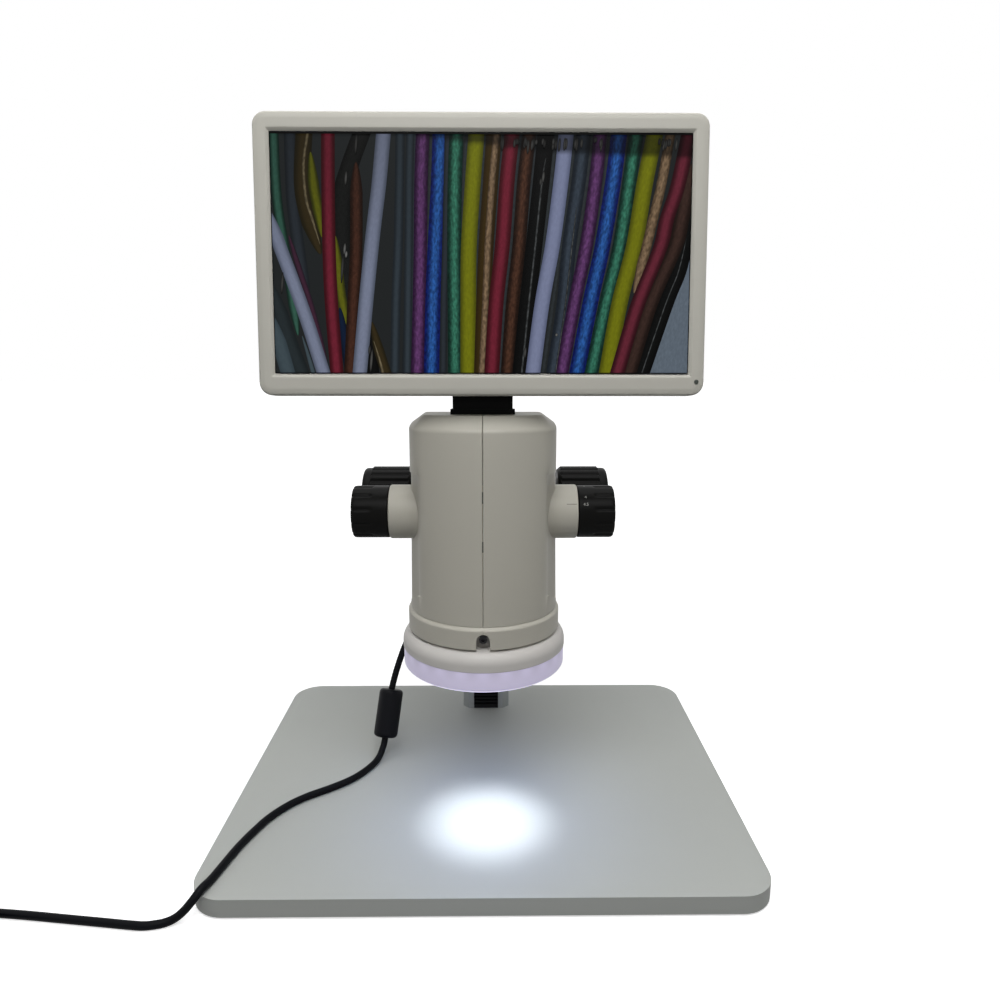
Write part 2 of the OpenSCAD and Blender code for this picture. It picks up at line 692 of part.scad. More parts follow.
// The barrel that the drum turns on, with the plate that carries the camera
barrel_top = cheek_z1;
camera_plate_t = 4;
module zoom_barrel() {
    color([0.09, 0.09, 0.095]) difference() {
        union() {
            translate([0, axis_y, 0]) rod_z(barrel_r, floor_z, barrel_top + eps);
            box(-cheek_x - cheek_t, cheek_x + cheek_t, cheek_y0, axis_y + 24, barrel_top,
                barrel_top + camera_plate_t);
        }
        translate([0, axis_y, 0]) rod_z(barrel_bore, floor_z - 1, barrel_top + camera_plate_t + 1);
    }
}

camera_z = barrel_top + camera_plate_t;
camera_w = 38;
camera_h = 16;
module camera_body() {
    color([0.15, 0.15, 0.16]) translate([0, axis_y, 0]) difference() {
        translate([0, 0, camera_z]) linear_extrude(camera_h) round_plate(camera_w, camera_w, 4);
        rod_z(barrel_bore - 4, camera_z - 1, camera_z + camera_h - 5);
    }
}
module camera_board() {
    color([0.12, 0.35, 0.2]) translate([0, axis_y, camera_z + camera_h]) {
        translate([0, 0, 0.8]) cube([camera_w + 2, camera_w + 2, 1.6], center = true);
        translate([-8, 0, 1.6]) linear_extrude(1) square(9, center = true);
        translate([9, 4, 1.6]) linear_extrude(2.2) square([7, 12], center = true);
    }
}

// The board that drives the ring light and the display, standing beside the frame
driver_x = cheek_x + cheek_t;
driver_h = 60;
module driver_board() {
    color([0.12, 0.35, 0.2]) on_side(-1) {
        box(driver_x, driver_x + 1.6, axis_y + 19, back_y - 21, floor_z + 24, floor_z + 24 + driver_h);
        for (k = [0:2])
            box(driver_x + 1.6, driver_x + 4, axis_y + 22, axis_y + 30,
                floor_z + 29 + 18 * k, floor_z + 39 + 18 * k);
    }
}

socket_d = 5.5;
socket_depth = 13;
module power_socket() {
    color([0.08, 0.08, 0.08]) translate([socket_x, 0, socket_z]) difference() {
        box(-socket_w / 2, socket_w / 2, back_y - socket_depth - 3, back_y, -socket_w / 2, socket_w / 2);
        rod_y(socket_d / 2 + seat_gap, back_y - socket_depth, back_y + 1);
    }
}

// ---------------------------------------------------------------- zoom

module zoom_boss(side) {
    rim = 1;
    l = boss_reach - cheek_x - cheek_t;
    color([0.80, 0.79, 0.74]) on_side(side)
        translate([cheek_x + cheek_t, axis_y, zoom_z]) rotate([0, 90, 0]) difference() {
            rotate_extrude() polygon([[0, 0], [boss_r, 0], [boss_r, l - rim], [boss_r - rim, l], [0, l]]);
            rod_z(zoom_shaft_d / 2 + fit, -1, l + 1);
        }
}
module zoom_boss_left() { zoom_boss(-1); }
module zoom_boss_right() { zoom_boss(1); }

zoom_knob_x = boss_reach + turn_gap;
zoom_knob_l = zoom_reach - zoom_knob_x;
zoom_grip = 0.56;           // share of the knob that is grooved
zoom_grooves = 11;
groove_w = 1.8;
knob_web = 6;               // solid end of the knob, beyond the shaft
module zoom_knob(side) {
    r = zoom_knob_d / 2;
    cut = 0.9;
    bevel = 2.2;
    step = 360 / zoom_grooves;
    color([0.05, 0.05, 0.055]) on_side(side) translate([zoom_knob_x, axis_y, zoom_z]) rotate([0, 90, 0])
        difference() {
            rotate_extrude() polygon([[0, 0], [r - 0.5, 0], [r, 0.5], [r, zoom_knob_l - bevel],
                [r - bevel, zoom_knob_l], [0, zoom_knob_l]]);
            rod_z(zoom_shaft_d / 2, -1, zoom_knob_l - knob_web);
            for (i = [0:zoom_grooves - 1]) rotate(i * step + 0.75 * step)
                translate([0, 0, zoom_knob_l * (1 - zoom_grip)]) linear_extrude(zoom_knob_l)
                    polygon([[r - cut, -groove_w / 4], [r + cut, -groove_w], [r + cut, groove_w],
                        [r - cut, groove_w / 4]]);
        }
}
module zoom_knob_left() { zoom_knob(-1); }
module zoom_knob_right() { zoom_knob(1); }

// A zoom shaft with the pinion that drives the crown gear; a tooth points straight down
module zoom_shaft(side) {
    color([0.7, 0.71, 0.72]) on_side(side) translate([0, axis_y, zoom_z]) {
        rod_x(zoom_shaft_d / 2, crown_r - zoom_face_w / 2, zoom_reach - knob_web);
        sideways(crown_r - zoom_face_w / 2, crown_r + zoom_face_w / 2) rotate(-90)
            polygon(gear_outline(zoom_pinion_teeth, zoom_module, backlash));
    }
}
module zoom_shaft_left() { zoom_shaft(-1); }
module zoom_shaft_right() { zoom_shaft(1); }

crown_line_z = zoom_z - zoom_pinion_r;
drum_z0 = floor_z + floor_t + turn_gap;
drum_z1 = barrel_top - turn_gap;
module zoom_drum() {
    root = crown_line_z - 1.25 * zoom_module;
    half_tip = PI * zoom_module / 4 - backlash - tan(20) * zoom_module;
    half_root = PI * zoom_module / 4 - backlash + tan(20) * 1.25 * zoom_module;
    color([0.72, 0.6, 0.33]) translate([0, axis_y, 0]) {
        tube_z(drum_out_r, drum_r, drum_z0, drum_z1);
        tube_z(crown_r + zoom_face_w / 2, drum_out_r - eps, root - 4, root);
        for (i = [0:crown_teeth - 1]) rotate([0, 0, (i + 0.5) * 360 / crown_teeth])
            translate([0, 0, root]) sideways(drum_out_r + turn_gap, crown_r + zoom_face_w / 2)
                polygon([[-half_root, -eps], [half_root, -eps], [half_tip, 2.25 * zoom_module],
                    [-half_tip, 2.25 * zoom_module]]);
    }
}

zoom_lens_r = barrel_bore - fit;
zoom_lens_t = 8;
front_lens_z = floor_z + 13;
rear_lens_z = barrel_top - 18;
module zoom_lens_front() { lens(zoom_lens_r, front_lens_z, front_lens_z + zoom_lens_t, 1); }
module zoom_lens_rear() { lens(zoom_lens_r, rear_lens_z, rear_lens_z + zoom_lens_t, 1); }

// ---------------------------------------------------------------- ring light

ring_round = 8;             // rounding of the top outer edge
ring_wall = 2.5;
sleeve_h = 11;
sleeve_r = neck_r + 6;
module ring_housing() {
    inner = neck_r + seat_gap;
    color([0.80, 0.79, 0.74]) difference() {
        translate([0, axis_y, 0]) rotate_extrude() polygon(concat(
            [[inner, housing_z], [inner + ring_wall, housing_z], [inner + ring_wall, collar_z - ring_wall],
            [ring_r - ring_wall - 4, collar_z - ring_wall], [ring_r - ring_wall, collar_z - ring_wall - 4],
            [ring_r - ring_wall, housing_z], [ring_r, housing_z]],
            [for (a = [0:11.25:90]) [ring_r - ring_round + ring_round * cos(a),
                collar_z - ring_round + ring_round * sin(a)]],
            [[sleeve_r, collar_z], [sleeve_r, collar_z + sleeve_h], [inner, collar_z + sleeve_h]]));
        translate([0, axis_y, notch_z]) rod_y(collar_screw_d / 2 + seat_gap, -ring_r, 0);
    }
}

collar_screw_d = 5;
module collar_screw() {
    color([0.1, 0.1, 0.1]) translate([0, axis_y, notch_z]) difference() {
        rod_y(collar_screw_d / 2, -head_r + 0.9, -neck_r);
        translate([0, -head_r + 2.4, 0]) rotate([90, 0, 0])
            cylinder(r = collar_screw_d * 0.28, h = 4, $fn = 6);
    }
}

board_r1 = neck_r + ring_wall + 0.5;
board_r2 = ring_r - ring_wall - 0.5;
board_z = housing_z + 2.5;
module led_board() {
    color([0.9, 0.9, 0.88]) translate([0, axis_y, 0]) tube_z(board_r2, board_r1, board_z, board_z + 1.6);
}
module leds() {
    color([0.98, 0.96, 0.8])
        for (i = [0:led_count - 1]) translate([0, axis_y, 0]) rotate([0, 0, i * 360 / led_count])
            translate([(board_r1 + board_r2) / 2, 0, board_z - 1.6]) linear_extrude(1.6)
                square([3.5, 2.8], center = true);
}

diffuser_wall = 2;
module ring_diffuser() {
    lip = 0.4;
    color([0.86, 0.84, 0.93]) translate([0, axis_y, 0]) rotate_extrude() polygon([
        [neck_r + seat_gap, housing_z], [neck_r + seat_gap, ring_z + 2], [neck_r + seat_gap + 2, ring_z],
        [ring_r - lip - 1.2, ring_z], [ring_r - lip, ring_z + 1.2], [ring_r - lip, housing_z],
        [ring_r - lip - diffuser_wall, housing_z], [ring_r - lip - diffuser_wall, ring_z + diffuser_wall],
        [neck_r + seat_gap + diffuser_wall, ring_z + diffuser_wall],
        [neck_r + seat_gap + diffuser_wall, housing_z]]);
}

// ---------------------------------------------------------------- display

// Places in the display's own frame: X right, Y back, Z up, from the middle of the picture
screen_y = axis_y - display_forward;
screen_z = roof_z + display_rise;
module in_display() {
    translate([0, screen_y, screen_z]) rotate([-display_tilt, 0, 0]) children();
}
display_w = screen_w + 2 * frame_side;
display_h = screen_h + frame_top + frame_bottom;
frame_z = (frame_top - frame_bottom) / 2;   // middle of the frame above the middle of the picture
front = -lip_t;
rim_back = rim_t - lip_t;
split = rim_back - 6;                       // where the bezel meets the rear cover
cover_wall = 2.2;
bump_w = 150;
bump_h = 96;
bump_z = 2;
bump_back = rim_back + bump_t;
vesa = 75;                  // spacing of the four screws of the mount
mount_screw_d = 4;
board_y = bump_back - 8.5;                  // back of the circuit board, on the pillars
board_w = 100;
chip_w = 14;
vent_side = 9;              // cooling slots on each side of the middle one
vent_step = 6;
vent_h = 9;
vent_z = bump_z + bump_h / 2 - 14;
button_r = 3;
button_step = 10;
button_travel = 0.8;
button_z = -screen_h / 2 - 3.5;
button_x0 = screen_w / 2 - 8 - 4 * button_step;
function button_x(i) = button_x0 + i * button_step;
lamp_x = screen_w / 2 + 4.6;
lamp_z = -screen_h / 2 - 4.4;
lamp_r = 1.2;

module display_bezel() {
    color([0.79, 0.79, 0.76]) in_display() difference() {
        hull() {
            translate([0, 0, frame_z]) upright(front, front + eps)
                round_plate(display_w - 2 * display_bevel, display_h - 2 * display_bevel,
                    display_r - display_bevel, $fn = 48);
            translate([0, 0, frame_z]) upright(front + display_bevel, split)
                round_plate(display_w, display_h, display_r, $fn = 48);
        }
        hull() {
            upright(front - eps, front)
                square([screen_w + 2 * lip_bevel, screen_h + 2 * lip_bevel], center = true);
            upright(0, eps) square([screen_w, screen_h], center = true);
        }
        upright(-eps, split + 1) square([screen_w, screen_h], center = true);
        // the pocket for the picture panel
        upright(0, split + 1)
            square([screen_w + 2 * panel_edge + 2 * seat_gap, screen_h + 2 * panel_edge + 2 * seat_gap],
                center = true);
        translate([lamp_x, 0, lamp_z]) rod_y(lamp_r + seat_gap / 2, front - 1, split + 1);
    }
}

panel_edge = 2.5;
panel_t = 3.2;
module lcd_panel() {
    color([0.1, 0.1, 0.12]) in_display()
        upright(0, panel_t) square([screen_w + 2 * panel_edge, screen_h + 2 * panel_edge], center = true);
}

module indicator_lens() {
    color([0.2, 0.25, 0.2]) in_display() translate([lamp_x, 0, lamp_z]) rod_y(lamp_r, front - 0.3, split);
}

// The bump's outline at its foot and, sloped in, at its back
module bump_form(t, y0) {
    slope = 6;
    translate([0, 0, bump_z]) hull() {
        upright(y0, y0 + eps) round_plate(bump_w - 2 * t, bump_h - 2 * t, 8, $fn = 32);
        upright(bump_back - t - eps, bump_back - t)
            round_plate(bump_w - 2 * slope - 2 * t, bump_h - 2 * slope - 2 * t, 8, $fn = 32);
    }
}
module display_cover() {
    color([0.76, 0.76, 0.73]) in_display() difference() {
        union() {
            translate([0, 0, frame_z]) upright(split, rim_back)
                round_plate(display_w, display_h, display_r);
            bump_form(0, rim_back - eps);
        }
        difference() {
            union() {
                translate([0, 0, frame_z]) upright(split - 1, rim_back - cover_wall)
                    round_plate(display_w - 2 * cover_wall, display_h - 2 * cover_wall,
                        display_r - cover_wall);
                bump_form(cover_wall, rim_back - cover_wall - 1);
            }
            // pillars for the screws of the mount
            for (x = [-1, 1], z = [-1, 1]) translate([x * vesa / 2, 0, z * vesa / 2])
                rod_y(5, board_y + seat_gap, bump_back);
        }
        for (x = [-1, 1], z = [-1, 1]) translate([x * vesa / 2, 0, z * vesa / 2])
            rod_y(mount_screw_d / 2 + seat_gap, board_y, bump_back + 1);
        for (i = [0:button_count - 1]) translate([button_x(i), 0, button_z])
            rod_y(button_r + seat_gap, rim_back - cover_wall - 1, rim_back + 1);
        for (i = [-vent_side:vent_side]) translate([i * vent_step, 0, vent_z])
            upright(bump_back - cover_wall - 1, bump_back + 1) square([2, vent_h], center = true);
    }
}

module display_board() {
    board_t = 1.6;
    board_front = board_y - board_t;
    color([0.12, 0.35, 0.2]) in_display() {
        upright(board_front, board_y) square([board_w, vesa + 5], center = true);
        upright(board_front - 2, board_front) square(chip_w, center = true);
        translate([30, 0, 18]) upright(board_front - board_t, board_front) square([20, 10], center = true);
    }
}

module display_button(i) {
    flange = 1;
    color([0.3, 0.3, 0.3]) in_display() translate([button_x(i), 0, button_z]) {
        rod_y(button_r, rim_back - cover_wall - eps, rim_back + button_travel + 0.4);
        rod_y(button_r + 1, rim_back - cover_wall - flange, rim_back - cover_wall);
    }
}
module menu_button() { display_button(0); }
module down_button() { display_button(1); }
module up_button() { display_button(2); }
module source_button() { display_button(3); }
module power_button() { display_button(4); }

// ---------------------------------------------------------------- display hinge

hinge_y = axis_y - 3;
hinge_z = roof_z + 59.5;
knuckle_r = 8;
knuckle_w = 9;
mount_t = 3;
bracket_t = 4;
bracket_y = axis_y - 28.3;          // front face of the bracket
bracket_foot = 18;
hinge_back = (hinge_y - screen_y) * cos(display_tilt) - (hinge_z - screen_z) * sin(display_tilt);
hinge_up = (hinge_y - screen_y) * sin(display_tilt) + (hinge_z - screen_z) * cos(display_tilt);
module display_mount() {
    color([0.09, 0.09, 0.095]) in_display() difference() {
        union() {
            upright(bump_back, bump_back + mount_t) round_plate(vesa + 13, vesa + 13, 5);
            for (x = [-1, 1]) on_side(x) {
                sideways(bracket_w / 2 + turn_gap, bracket_w / 2 + turn_gap + knuckle_w)
                    polygon([[bump_back + mount_t - eps, hinge_up - 13],
                        [hinge_back, hinge_up - knuckle_r], [hinge_back, hinge_up + knuckle_r],
                        [bump_back + mount_t - eps, hinge_up + 13]]);
                translate([0, hinge_back, hinge_up])
                    rod_x(knuckle_r, bracket_w / 2 + turn_gap, bracket_w / 2 + turn_gap + knuckle_w);
            }
        }
        translate([0, hinge_back, hinge_up]) rod_x(hinge_pin_d / 2 + fit, -bracket_w, bracket_w);
        for (x = [-1, 1], z = [-1, 1]) translate([x * vesa / 2, 0, z * vesa / 2])
            rod_y(mount_screw_d / 2 + seat_gap, bump_back - 1, bump_back + mount_t + 1);
    }
}

module display_screws() {
    color([0.6, 0.6, 0.6]) in_display() for (x = [-1, 1], z = [-1, 1])
        translate([x * vesa / 2, bump_back + mount_t, z * vesa / 2])
            rotate([-90, 0, 0]) cap_screw(mount_screw_d, mount_t + 7);
}

// The bracket: a foot on the roof, an upright face, a lean back and the middle knuckle
module display_bracket() {
    bend_z = roof_z + 13.5;
    lean_y = hinge_y - 10;
    lean_z = hinge_z - 16;
    color([0.06, 0.06, 0.065]) difference() {
        union() {
            sideways(-bracket_w / 2, bracket_w / 2) polygon([[bracket_y, roof_z],
                [bracket_y, bend_z], [lean_y, lean_z], [hinge_y - knuckle_r, hinge_z],
                [hinge_y + 1, hinge_z], [hinge_y + 1, hinge_z - knuckle_r],
                [lean_y + bracket_t + 1, lean_z], [bracket_y + bracket_t + 1, bend_z - 1],
                [bracket_y + bracket_t + 1, roof_z + bracket_t],
                [bracket_y + bracket_foot, roof_z + bracket_t], [bracket_y + bracket_foot, roof_z]]);
            translate([0, hinge_y, hinge_z]) rod_x(knuckle_r, -bracket_w / 2, bracket_w / 2);
            box(-bracket_w / 2 - 1.3, bracket_w / 2 + 1.3, bracket_y - 0.6, bracket_y + bracket_t,
                roof_z, roof_z + 3);
        }
        translate([0, hinge_y, hinge_z]) rod_x(hinge_pin_d / 2, -bracket_w, bracket_w);
        for (p = bracket_screw_places) translate([p[0], p[1], 0])
            rod_z(bracket_screw_d / 2 + seat_gap, roof_z - 1, roof_z + bracket_t + 1);
    }
}

module bracket_screws() {
    color([0.1, 0.1, 0.1]) for (p = bracket_screw_places)
        translate([p[0], p[1], roof_z + bracket_t])
            cap_screw(bracket_screw_d, bracket_t + shell_wall + 4.5, 6, 2.2);
}

module hinge_pin() {
    reach = bracket_w / 2 + turn_gap + knuckle_w + 1;
    color([0.7, 0.71, 0.72]) translate([0, hinge_y, hinge_z])
        rod_x(hinge_pin_d / 2, -reach, reach);
}

// ---------------------------------------------------------------- cord

cord_exit = [-31.5, 30, 190];
drop_route = [[-31.5, 30.3, 190], [-31.5, 36, 189.8], [-32.2, 43, 186], [-34.5, 49, 180],
    [-38.5, 53, 166], [-44, 52, 148], [-50.5, 49, 130], [-57.5, 44, 110], [-66, 37.5, 91],
    [-73.8, 28, 64.8]];
run_route = [[-78.2, 15, 30.6], [-80, 10, 23], [-82.5, 4, 18.5], [-86, -3, 17], [-92, -14, 17],
    [-100, -24, 17], [-112, -34, 17], [-126, -44, 17], [-137, -55, 17], [-146, -69, 17],
    [-152, -84, 17], [-157, -100, 17], [-160.5, -116, 17], [-163.5, -130, 17.1], [-166, -138, 17.4],
    [-170, -143.5, 13.2], [-175, -145.5, 7.8], [-180.5, -146.5, 3.8], [-187, -148.5, 2.5],
    [-195, -150, 2.5], [-203, -149.5, 2.5], [-222, -147, 2.5], [-245, -144, 2.5], [-268, -141, 2.5],
    [-290, -138.6, 2.5], [-298, -138, 2.5]];
tail_route = [[-342, -172, 7.8], [-342.5, -182, 6.6], [-342, -194, 4.6], [-341, -205, 4],
    [-341, -214, 4]];
coil_middle = [-310, -170];
plug_end = [-341, -214];
sides = 10;

function unit(v) = v / norm(v);
function heading(p, i) = unit(p[min(i + 1, len(p) - 1)] - p[max(i - 1, 0)]);
// A tube along a route: a ring of points at each place, square to the way the route runs
module cord_tube(p) {
    across = [1, 0, 1];
    points = [for (i = [0:len(p) - 1]) let(t = heading(p, i), u = unit(cross(t, across)), v = cross(t, u))
        for (k = [0:sides - 1]) let(a = k * 360 / sides)
            p[i] + cord_d / 2 * (u * cos(a) + v * sin(a))];
    walls = [for (i = [0:len(p) - 2], k = [0:sides - 1])
        let(n = (k + 1) % sides, a = i * sides, b = a + sides)
            each [[a + k, a + n, b + n], [a + k, b + n, b + k]]];
    last = (len(p) - 1) * sides;
    polyhedron(points,
        concat(walls, [[for (k = [sides - 1:-1:0]) k]], [[for (k = [0:sides - 1]) last + k]]));
}

module cord_plug() {
    color([0.05, 0.05, 0.05]) translate([socket_x, 0, socket_z]) {
        rod_y(socket_d / 2, back_y - socket_depth + 1, back_y + eps);
        translate([0, back_y, 0]) rotate([-90, 0, 0]) rotate_extrude() polygon([[0, 0], [5.5, 0],
            [5.5, 17], [5, 18], [cord_d / 2 + 1, cord_exit[1] - back_y], [0, cord_exit[1] - back_y]]);
    }
}
module cord_drop() { color([0.05, 0.05, 0.05]) cord_tube(drop_route); }
module cord_run() {
    color([0.05, 0.05, 0.05]) {
        cord_tube(run_route);
        cord_tube(tail_route);
    }
}
module cord_coil() {
    mid = (coil_r + coil_hole_r) / 2;
    color([0.05, 0.05, 0.05]) translate(coil_middle) rotate_extrude() translate([mid, coil_h / 2])
        round_plate(coil_r - coil_hole_r, coil_h, 2);
}

// The bead lies along the line from the end of the drop to the start of the run
module ferrite() {
    a = drop_route[len(drop_route) - 1];
    b = run_route[0];
    l = norm(b - a);
    lean = acos((b - a)[2] / l);
    turn = atan2((b - a)[1], (b - a)[0]);
    r = ferrite_d / 2;
    color([0.04, 0.04, 0.04]) translate(a) rotate([0, lean, turn]) rotate_extrude()
        polygon([[0, 0], [r - 3, 0], [r, 3], [r, l - 3], [r - 3, l], [0, l]]);
}

module usb_plug() {
    color([0.1, 0.1, 0.1]) translate([plug_end[0], plug_end[1], 0]) difference() {
        union() {
            box(-8, 8, -24, 0, 0, 8);
            box(-6, 6, -36, -24 + eps, 1.75, 6.25);
        }
        box(-5.6, 5.6, -37, -26, 2.1, 4.2);
    }
}

// ---------------------------------------------------------------- nodes

base_plate();
rubber_feet();
column();
rack();
column_cap();
column_screws();
focus_carriage();
gib_strip();
gib_screws();
head_arm();
arm_screws();
chassis();
head_shell_left();
head_shell_right();
shell_screws();
collar_screw();
objective_cell();
front_lens();
zoom_barrel();
camera_body();
camera_board();
driver_board();
power_socket();
cord_plug();
zoom_boss_left();
zoom_boss_right();
ring_housing();
led_board();
leds();
ring_diffuser();
display_bracket();
bracket_screws();
hinge_pin();
focus_shaft();
focus_knob_left();
focus_knob_right();
zoom_knob_left();
zoom_shaft_left();
zoom_knob_right();
zoom_shaft_right();
zoom_drum();
zoom_lens_front();
zoom_lens_rear();
display_bezel();
display_cover();
display_mount();
display_screws();
lcd_panel();
display_board();
indicator_lens();
menu_button();
down_button();
up_button();
source_button();
power_button();
cord_drop();
ferrite();
cord_run();
cord_coil();
usb_plug();
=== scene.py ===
"""Looks of the zoom microscope: materials, rounded pieces, cord, lights and camera.

Lengths are in millimetres until a mesh is made, when MM turns them into metres.
The frame is the CAD model's own: X right, Y back, Z up, zero on the table.
"""

import json
import math

import bmesh
import bpy
import numpy as np
from mathutils import Matrix

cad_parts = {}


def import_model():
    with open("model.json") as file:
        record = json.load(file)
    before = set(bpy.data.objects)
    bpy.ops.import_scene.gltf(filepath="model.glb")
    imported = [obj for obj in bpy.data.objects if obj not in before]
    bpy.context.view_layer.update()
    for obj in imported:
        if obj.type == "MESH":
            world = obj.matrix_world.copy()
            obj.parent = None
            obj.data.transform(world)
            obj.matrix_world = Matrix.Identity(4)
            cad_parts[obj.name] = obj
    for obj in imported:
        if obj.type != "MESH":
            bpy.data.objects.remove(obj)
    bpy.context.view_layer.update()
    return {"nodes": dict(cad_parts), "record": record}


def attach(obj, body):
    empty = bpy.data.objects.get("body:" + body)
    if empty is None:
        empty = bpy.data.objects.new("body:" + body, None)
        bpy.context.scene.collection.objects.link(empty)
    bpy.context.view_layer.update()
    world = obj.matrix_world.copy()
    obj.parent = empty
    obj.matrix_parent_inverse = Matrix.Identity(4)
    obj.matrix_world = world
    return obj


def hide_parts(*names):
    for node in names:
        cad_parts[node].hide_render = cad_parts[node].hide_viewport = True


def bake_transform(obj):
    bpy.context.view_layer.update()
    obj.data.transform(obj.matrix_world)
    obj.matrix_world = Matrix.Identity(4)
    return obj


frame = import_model()

MM = 0.001
NODES = frame["nodes"]
SLOTS = {part["node"]: part["material_slot"] for part in frame["record"]["subparts"]}
BODIES = {
    node: body
    for body, members in frame["record"]["behaviour"]["bodies"].items()
    for node in members
}

# Places and sizes shared with the CAD model
AXIS_Y = -69.0
BACK_Y = -8.0
COLLAR_Z, HEAD_Z, ROOF_Z = 156.0, 170.5, 292.5
HOUSING_Z, RING_Z = 144.3, 131.5
ZOOM_Z = 229.5
FOCUS_Y, FOCUS_Z = 85.0, 205.5
SCREEN = (0.0, -109.5, 378.5)
SCREEN_W, SCREEN_H = 222.7, 125.3
TILT = math.radians(6.0)
SIDE_NAMES = {-1: "left", 1: "right"}
# Points nearer than this, in metres, are made one
WELD = 2e-6


# ------------------------------------------------------------------ materials


def linear(code):
    """The linear colour, with alpha 1, of an sRGB code such as "c8c4b8"."""
    parts = np.array([int(code[i : i + 2], 16) / 255 for i in (0, 2, 4)])
    value = np.where(parts <= 0.04045, parts / 12.92, ((parts + 0.055) / 1.055) ** 2.4)
    return (*value.tolist(), 1.0)


def add(tree, kind, **values):
    """Adds a shader node.

    Each value is a setting of the node, or else goes to the input of that name, or of the number after "pin".
    """
    made = tree.nodes.new(kind)
    for name, value in values.items():
        if hasattr(made, name):
            setattr(made, name, value)
            continue
        key = int(name[3:]) if name.startswith("pin") else name.replace("_", " ")
        if isinstance(value, bpy.types.NodeSocket):
            tree.links.new(value, made.inputs[key])
        else:
            made.inputs[key].default_value = value
    return made


def emptied(owner):
    """The node tree of a material or a world, without the nodes it starts with."""
    owner.use_nodes = True
    owner.node_tree.nodes.clear()
    return owner.node_tree


# Width of the patches in which a mottled finish drifts
MOTTLE_MM = 30


def material(name, colour, rough, grain=0.0, grain_mm=0.5, mottle=0.0, **shader):
    """A Principled material.

    grain is the height in mm of a fine moulded texture and grain_mm its width; mottle is the tone's drift.
    """
    made = bpy.data.materials.new(name)
    tree = emptied(made)
    surface = add(tree, "ShaderNodeBsdfPrincipled", Base_Color=linear(colour), Roughness=rough, **shader)
    place = add(tree, "ShaderNodeTexCoord").outputs["Object"]
    if mottle:
        cloud = add(tree, "ShaderNodeTexNoise", Vector=place, Scale=1 / (MOTTLE_MM * MM), Detail=3.0)
        tone = add(tree, "ShaderNodeMapRange", Value=cloud.outputs[0], pin3=1 - mottle, pin4=1 + mottle)
        tint = add(
            tree, "ShaderNodeMix", data_type="RGBA", blend_type="MULTIPLY", pin0=1.0,
            pin6=linear(colour), pin7=tone.outputs[0],
        )
        tree.links.new(tint.outputs[2], surface.inputs["Base Color"])
    if grain:
        skin = add(tree, "ShaderNodeTexNoise", Vector=place, Scale=1 / (grain_mm * MM), Detail=2.0)
        bump = add(tree, "ShaderNodeBump", Height=skin.outputs[0], Distance=grain * MM, Strength=1.0)
        tree.links.new(bump.outputs[0], surface.inputs["Normal"])
    add(tree, "ShaderNodeOutputMaterial", Surface=surface.outputs[0])
    return made


